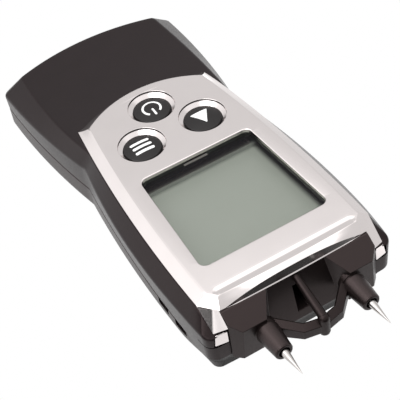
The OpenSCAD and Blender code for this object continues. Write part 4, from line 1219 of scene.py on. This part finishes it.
def block_base():
    """Block with its two bosses, the hollow between them and the slot behind the rib."""
    plan = [
        (-BLOCK_X, BLOCK_BACK_Y), (BLOCK_X, BLOCK_BACK_Y), (BLOCK_X, FRONT_Y),
        (BOSS_X, BOSS_Y), (-BOSS_X, BOSS_Y), (-BLOCK_X, FRONT_Y),
    ]
    side = [
        (BLOCK_BACK_Y, BLOCK_FOOT_Z), (BOSS_FOOT_Y, BLOCK_FOOT_Z), (BOSS_Y, BOSS_EDGE_Z),
        (BROW_Y + OVERLAP, BROW_Z - OVERLAP), (BLOCK_BACK_Y, BROW_Z - OVERLAP),
    ]
    base = prism("block_base", plan, BLOCK_FOOT_Z, BROW_Z)
    carve(base, [profile_x("t_side", side, BLOCK_X + PAST)], "INTERSECT")
    back_x, back_y = HOLLOW_BACK
    opening = [
        (-back_x, back_y), (back_x, back_y), (HOLLOW_NECK_X, BROW_Y),
        (HOLLOW_FRONT_X, BOSS_Y + OVERLAP), (-HOLLOW_FRONT_X, BOSS_Y + OVERLAP), (-HOLLOW_NECK_X, BROW_Y),
    ]
    low, high = HOLLOW_CUT_Z
    lean = [
        (HOLLOW_FOOT_Y, PART_Z), (HOLLOW_TOP_Y, BROW_Z), (HOLLOW_TOP_Y, high),
        (HOLLOW_CUT_Y, high), (HOLLOW_CUT_Y, low), (HOLLOW_FOOT_Y, low),
    ]
    hollow = prism("t_plan", opening, PART_Z - PAST, BROW_Z + PAST)
    carve(hollow, [profile_x("t_lean", lean, BLOCK_X + PAST)], "INTERSECT")
    carve(base, [hollow, block("t_slot", *SLOT)])
    return smooth(soften(base, BLOCK_ROUND, segments=3), angle=40)


def guard_bow():
    path = BOW_ARM + [(-p[0],) + p[1:] for p in BOW_ARM[1::-1]]
    return smooth(swept("bow", path, rounded(BOW_SECTION, BOW_ROUND, steps=4)), angle=28)


def bow_post():
    profile = POST_FOOT + [(POST_R * c, POST_TOP + POST_R * s) for c, s in quarter(steps=6)]
    return smooth(turned("hub", profile, HUB, segments=40), angle=40)


def sleeve(s):
    face_y = SLEEVE_END_Y - SLEEVE_EDGE_R
    pts = SLEEVE_ROOT + [(SLEEVE_END_R, face_y)]
    pts += [(SLEEVE_FACE_R + SLEEVE_EDGE_R * c, face_y + SLEEVE_EDGE_R * sn) for c, sn in quarter(steps=4)]
    pts += [(SLEEVE_RIM_R, SLEEVE_END_Y), (SLEEVE_BORE_R, SLEEVE_END_Y - SLEEVE_CHAMFER)]
    pts += [(r, SLEEVE_END_Y - SLEEVE_BORE_DEPTH) for r in (SLEEVE_BORE_R, SLEEVE_BORE_END_R)]
    return smooth(turned("sleeve", pts, (s * PIN_X, 0.0, PIN_Z), axis="y", segments=56), angle=30)


def pin_block():
    parts = [block_base(), guard_bow(), bow_post()]
    parts.append(smooth(tapered("rib", RIB, RIB_R), angle=40))
    return parts + [sleeve(s) for s in (-1, 1)]


def pin(s):
    """Pin with a round shank in the sleeve and a slightly swollen point."""
    root_y = SLEEVE_END_Y - PIN_SEAT
    length = PIN_TIP_Y - root_y
    back_y = root_y - PIN_SHANK_LENGTH
    pts = [(0.0, back_y), (PIN_SHANK_R, back_y), (PIN_SHANK_R, root_y - PIN_SHOULDER), (PIN_R, root_y)]
    for i in range(1, PIN_STEPS + 1):
        t = i / PIN_STEPS
        pts.append((PIN_TIP_R + (PIN_R - PIN_TIP_R) * (1 - t) * (1 - PIN_SWELL * t), root_y + length * t))
    pts.append((0.0, PIN_TIP_Y))
    return smooth(turned("pin", pts, (s * PIN_X, 0.0, PIN_Z), axis="y", segments=40), angle=40)


# Put the pieces in place

finish_piece(upper_shell(), upper_black, "case", ["upper_shell"])
finish_piece(lower_shell(), lower_black, "case", ["lower_shell"])
finish_piece(bezel(), silver, "case", ["bezel"])
for side, name in ((-1, "left_trim"), (1, "right_trim")):
    piece = soften(trim(name, side, 0.0), TRIM_ROUND, segments=3)
    finish_piece(smooth(piece), silver, "case", ["corner_trims"])

for node_name, (key_x, key_y) in KEYS.items():
    body = node_name.replace("button", "key")
    finish_piece(key_cap(node_name + "_cap", key_x, key_y), key_black, body, [node_name])
    symbol = printed(node_name + "_print", SYMBOLS[node_name], key_x, key_y)
    finish_piece(symbol, white_print, body, [])

for piece in pin_block():
    # The bow, its post and the rib take the block's finish with painted shade
    black = bow_shaded_black if piece.name in ("bow", "hub", "rib") else block_black
    piece.name = "pin_block_" + piece.name
    finish_piece(piece, black, "case", ["pin_block"])

for side, node_name in ((-1, "left_pin"), (1, "right_pin")):
    piece = pin(side)
    piece.name = node_name + "_turned"
    finish_piece(piece, steel, "case", [node_name])

tab = soften(block("window_frame_tab", *TAB), TAB_ROUND)
finish_piece(smooth(tab), tab_grey, "case", [])

CAD_FINISH = {
    "window_frame": frame_black, "window_lens": lens_clear, "lcd_glass": display_grey,
    "connector_strips": strip_pink, "circuit_board": board_green, "controller_chip": chip_black,
    "tactile_switches": switch_grey, "power_plunger": ivory, "up_plunger": ivory, "mode_plunger": ivory,
    "pin_contacts": bronze, "battery_cover": lower_black, "left_cell": cell_gold, "right_cell": cell_gold,
    "cell_springs": nickel, "cell_link": nickel, "positive_contact": nickel, "negative_contact": nickel,
    "case_screws": zinc, "board_screws": zinc,
}
for node_name, mat in CAD_FINISH.items():
    nodes[node_name].data.materials.clear()
    nodes[node_name].data.materials.append(mat)


# Floor, light and camera

def floor():
    """Pale floor: white to the camera and in reflections, with a brighter band in reflections."""
    bm = bmesh.new()
    (x0, y0), (x1, y1) = FLOOR
    bm.faces.new([bm.verts.new((x, y, FLOOR_Z)) for x, y in ((x0, y0), (x1, y0), (x1, y1), (x0, y1))])
    obj = link("floor", bm)
    mat, tree, bsdf = new_material("floor_white")
    bsdf.inputs["Base Color"].default_value = solid([FLOOR_TONE] * 3)
    bsdf.inputs["Roughness"].default_value = FLOOR_ROUGH
    glow = tree.nodes.new("ShaderNodeEmission")
    glow.inputs["Color"].default_value = solid([1.0] * 3)
    path = tree.nodes.new("ShaderNodeLightPath")
    to_camera, to_gloss = path.outputs["Is Camera Ray"], path.outputs["Is Glossy Ray"]
    x, _, _ = place(tree, "Object")
    band = maths(tree, "MULTIPLY", *(fade(tree, x, limits) for limits in FLOOR_BAND))
    level = maths(tree, "MULTIPLY_ADD", band, FLOOR_SHINE - 1.0, 1.0)
    seen = maths(tree, "MAXIMUM", to_camera, maths(tree, "MULTIPLY", to_gloss, level))
    tree.links.new(seen, glow.inputs["Strength"])
    mixer = tree.nodes.new("ShaderNodeMixShader")
    tree.links.new(maths(tree, "MAXIMUM", to_camera, to_gloss), mixer.inputs["Fac"])
    tree.links.new(bsdf.outputs["BSDF"], mixer.inputs[1])
    tree.links.new(glow.outputs["Emission"], mixer.inputs[2])
    tree.links.new(mixer.outputs["Shader"], tree.nodes["Material Output"].inputs["Surface"])
    obj.data.materials.append(mat)


def room():
    """Pale room, white to the camera: brighter at +X and overhead, darker low ahead, behind and at +X."""
    scene = bpy.context.scene
    scene.world = bpy.data.worlds.new("studio")
    scene.world.use_nodes = True
    tree = scene.world.node_tree
    back = tree.nodes["Background"]
    back.inputs["Color"].default_value = solid([1.0] * 3)
    x, y, z = place(tree, "Generated")

    def times(a, b):
        return maths(tree, "MULTIPLY", a, b)

    def rest_of(a):
        return maths(tree, "SUBTRACT", 1.0, a)

    def step(value, limits):
        return soft_fade(tree, value, limits)

    sides = times(maths(tree, "POWER", maths(tree, "MAXIMUM", x, 0.0), 2.0), SIDE_GLOW)
    sides = times(sides, rest_of(step(y, SIDE_END_Y)))
    above = times(step(z, OVER_Z), OVER_GLOW)
    above = times(above, rest_of(times(step(y, OVER_FADE_Y), OVER_FADE)))
    bright = maths(tree, "ADD", maths(tree, "ADD", sides, above), ROOM_GLOW)
    ahead = times(times(step(y, AHEAD_Y), rest_of(step(z, AHEAD_TOP_Z))), AHEAD_DIM)
    skyline = times(times(rest_of(step(z, SKYLINE_TOP_Z)), step(y, SKYLINE_Y)), SKYLINE_DIM)
    card = times(step(x, CARD_X), rest_of(step(z, CARD_TOP_Z)))
    card = times(times(card, step(y, CARD_BACK_Y)), rest_of(step(y, CARD_FRONT_Y)))
    dark = maths(tree, "MAXIMUM", maths(tree, "MAXIMUM", ahead, skyline), times(card, CARD_DIM))
    path = tree.nodes.new("ShaderNodeLightPath")
    seen = maths(tree, "MAXIMUM", times(bright, rest_of(dark)), path.outputs["Is Camera Ray"])
    tree.links.new(seen, back.inputs["Strength"])


def key_light():
    data = bpy.data.lights.new("key_light", "AREA")
    data.shape = "RECTANGLE"
    data.size = LIGHT_SIZE
    data.size_y = LIGHT_SIZE
    data.energy = LIGHT_POWER
    obj = bpy.data.objects.new("key_light", data)
    bpy.context.scene.collection.objects.link(obj)
    obj.location = LIGHT_AT
    obj.rotation_euler = (Vector(LIGHT_TARGET) - Vector(LIGHT_AT)).to_track_quat("-Z", "Y").to_euler()


def camera():
    data = bpy.data.cameras.new("camera")
    data.sensor_width = SENSOR_W
    data.lens = FOCAL_LENGTH
    data.clip_start = CLIP_START
    obj = bpy.data.objects.new("camera", data)
    bpy.context.scene.collection.objects.link(obj)
    turn = Matrix((CAMERA_RIGHT, CAMERA_UP, CAMERA_BACK)).transposed().to_4x4()
    obj.matrix_world = Matrix.Translation(CAMERA_AT) @ turn
    bpy.context.scene.camera = obj


floor()
room()
key_light()
camera()
bpy.context.scene.view_settings.view_transform = "Standard"
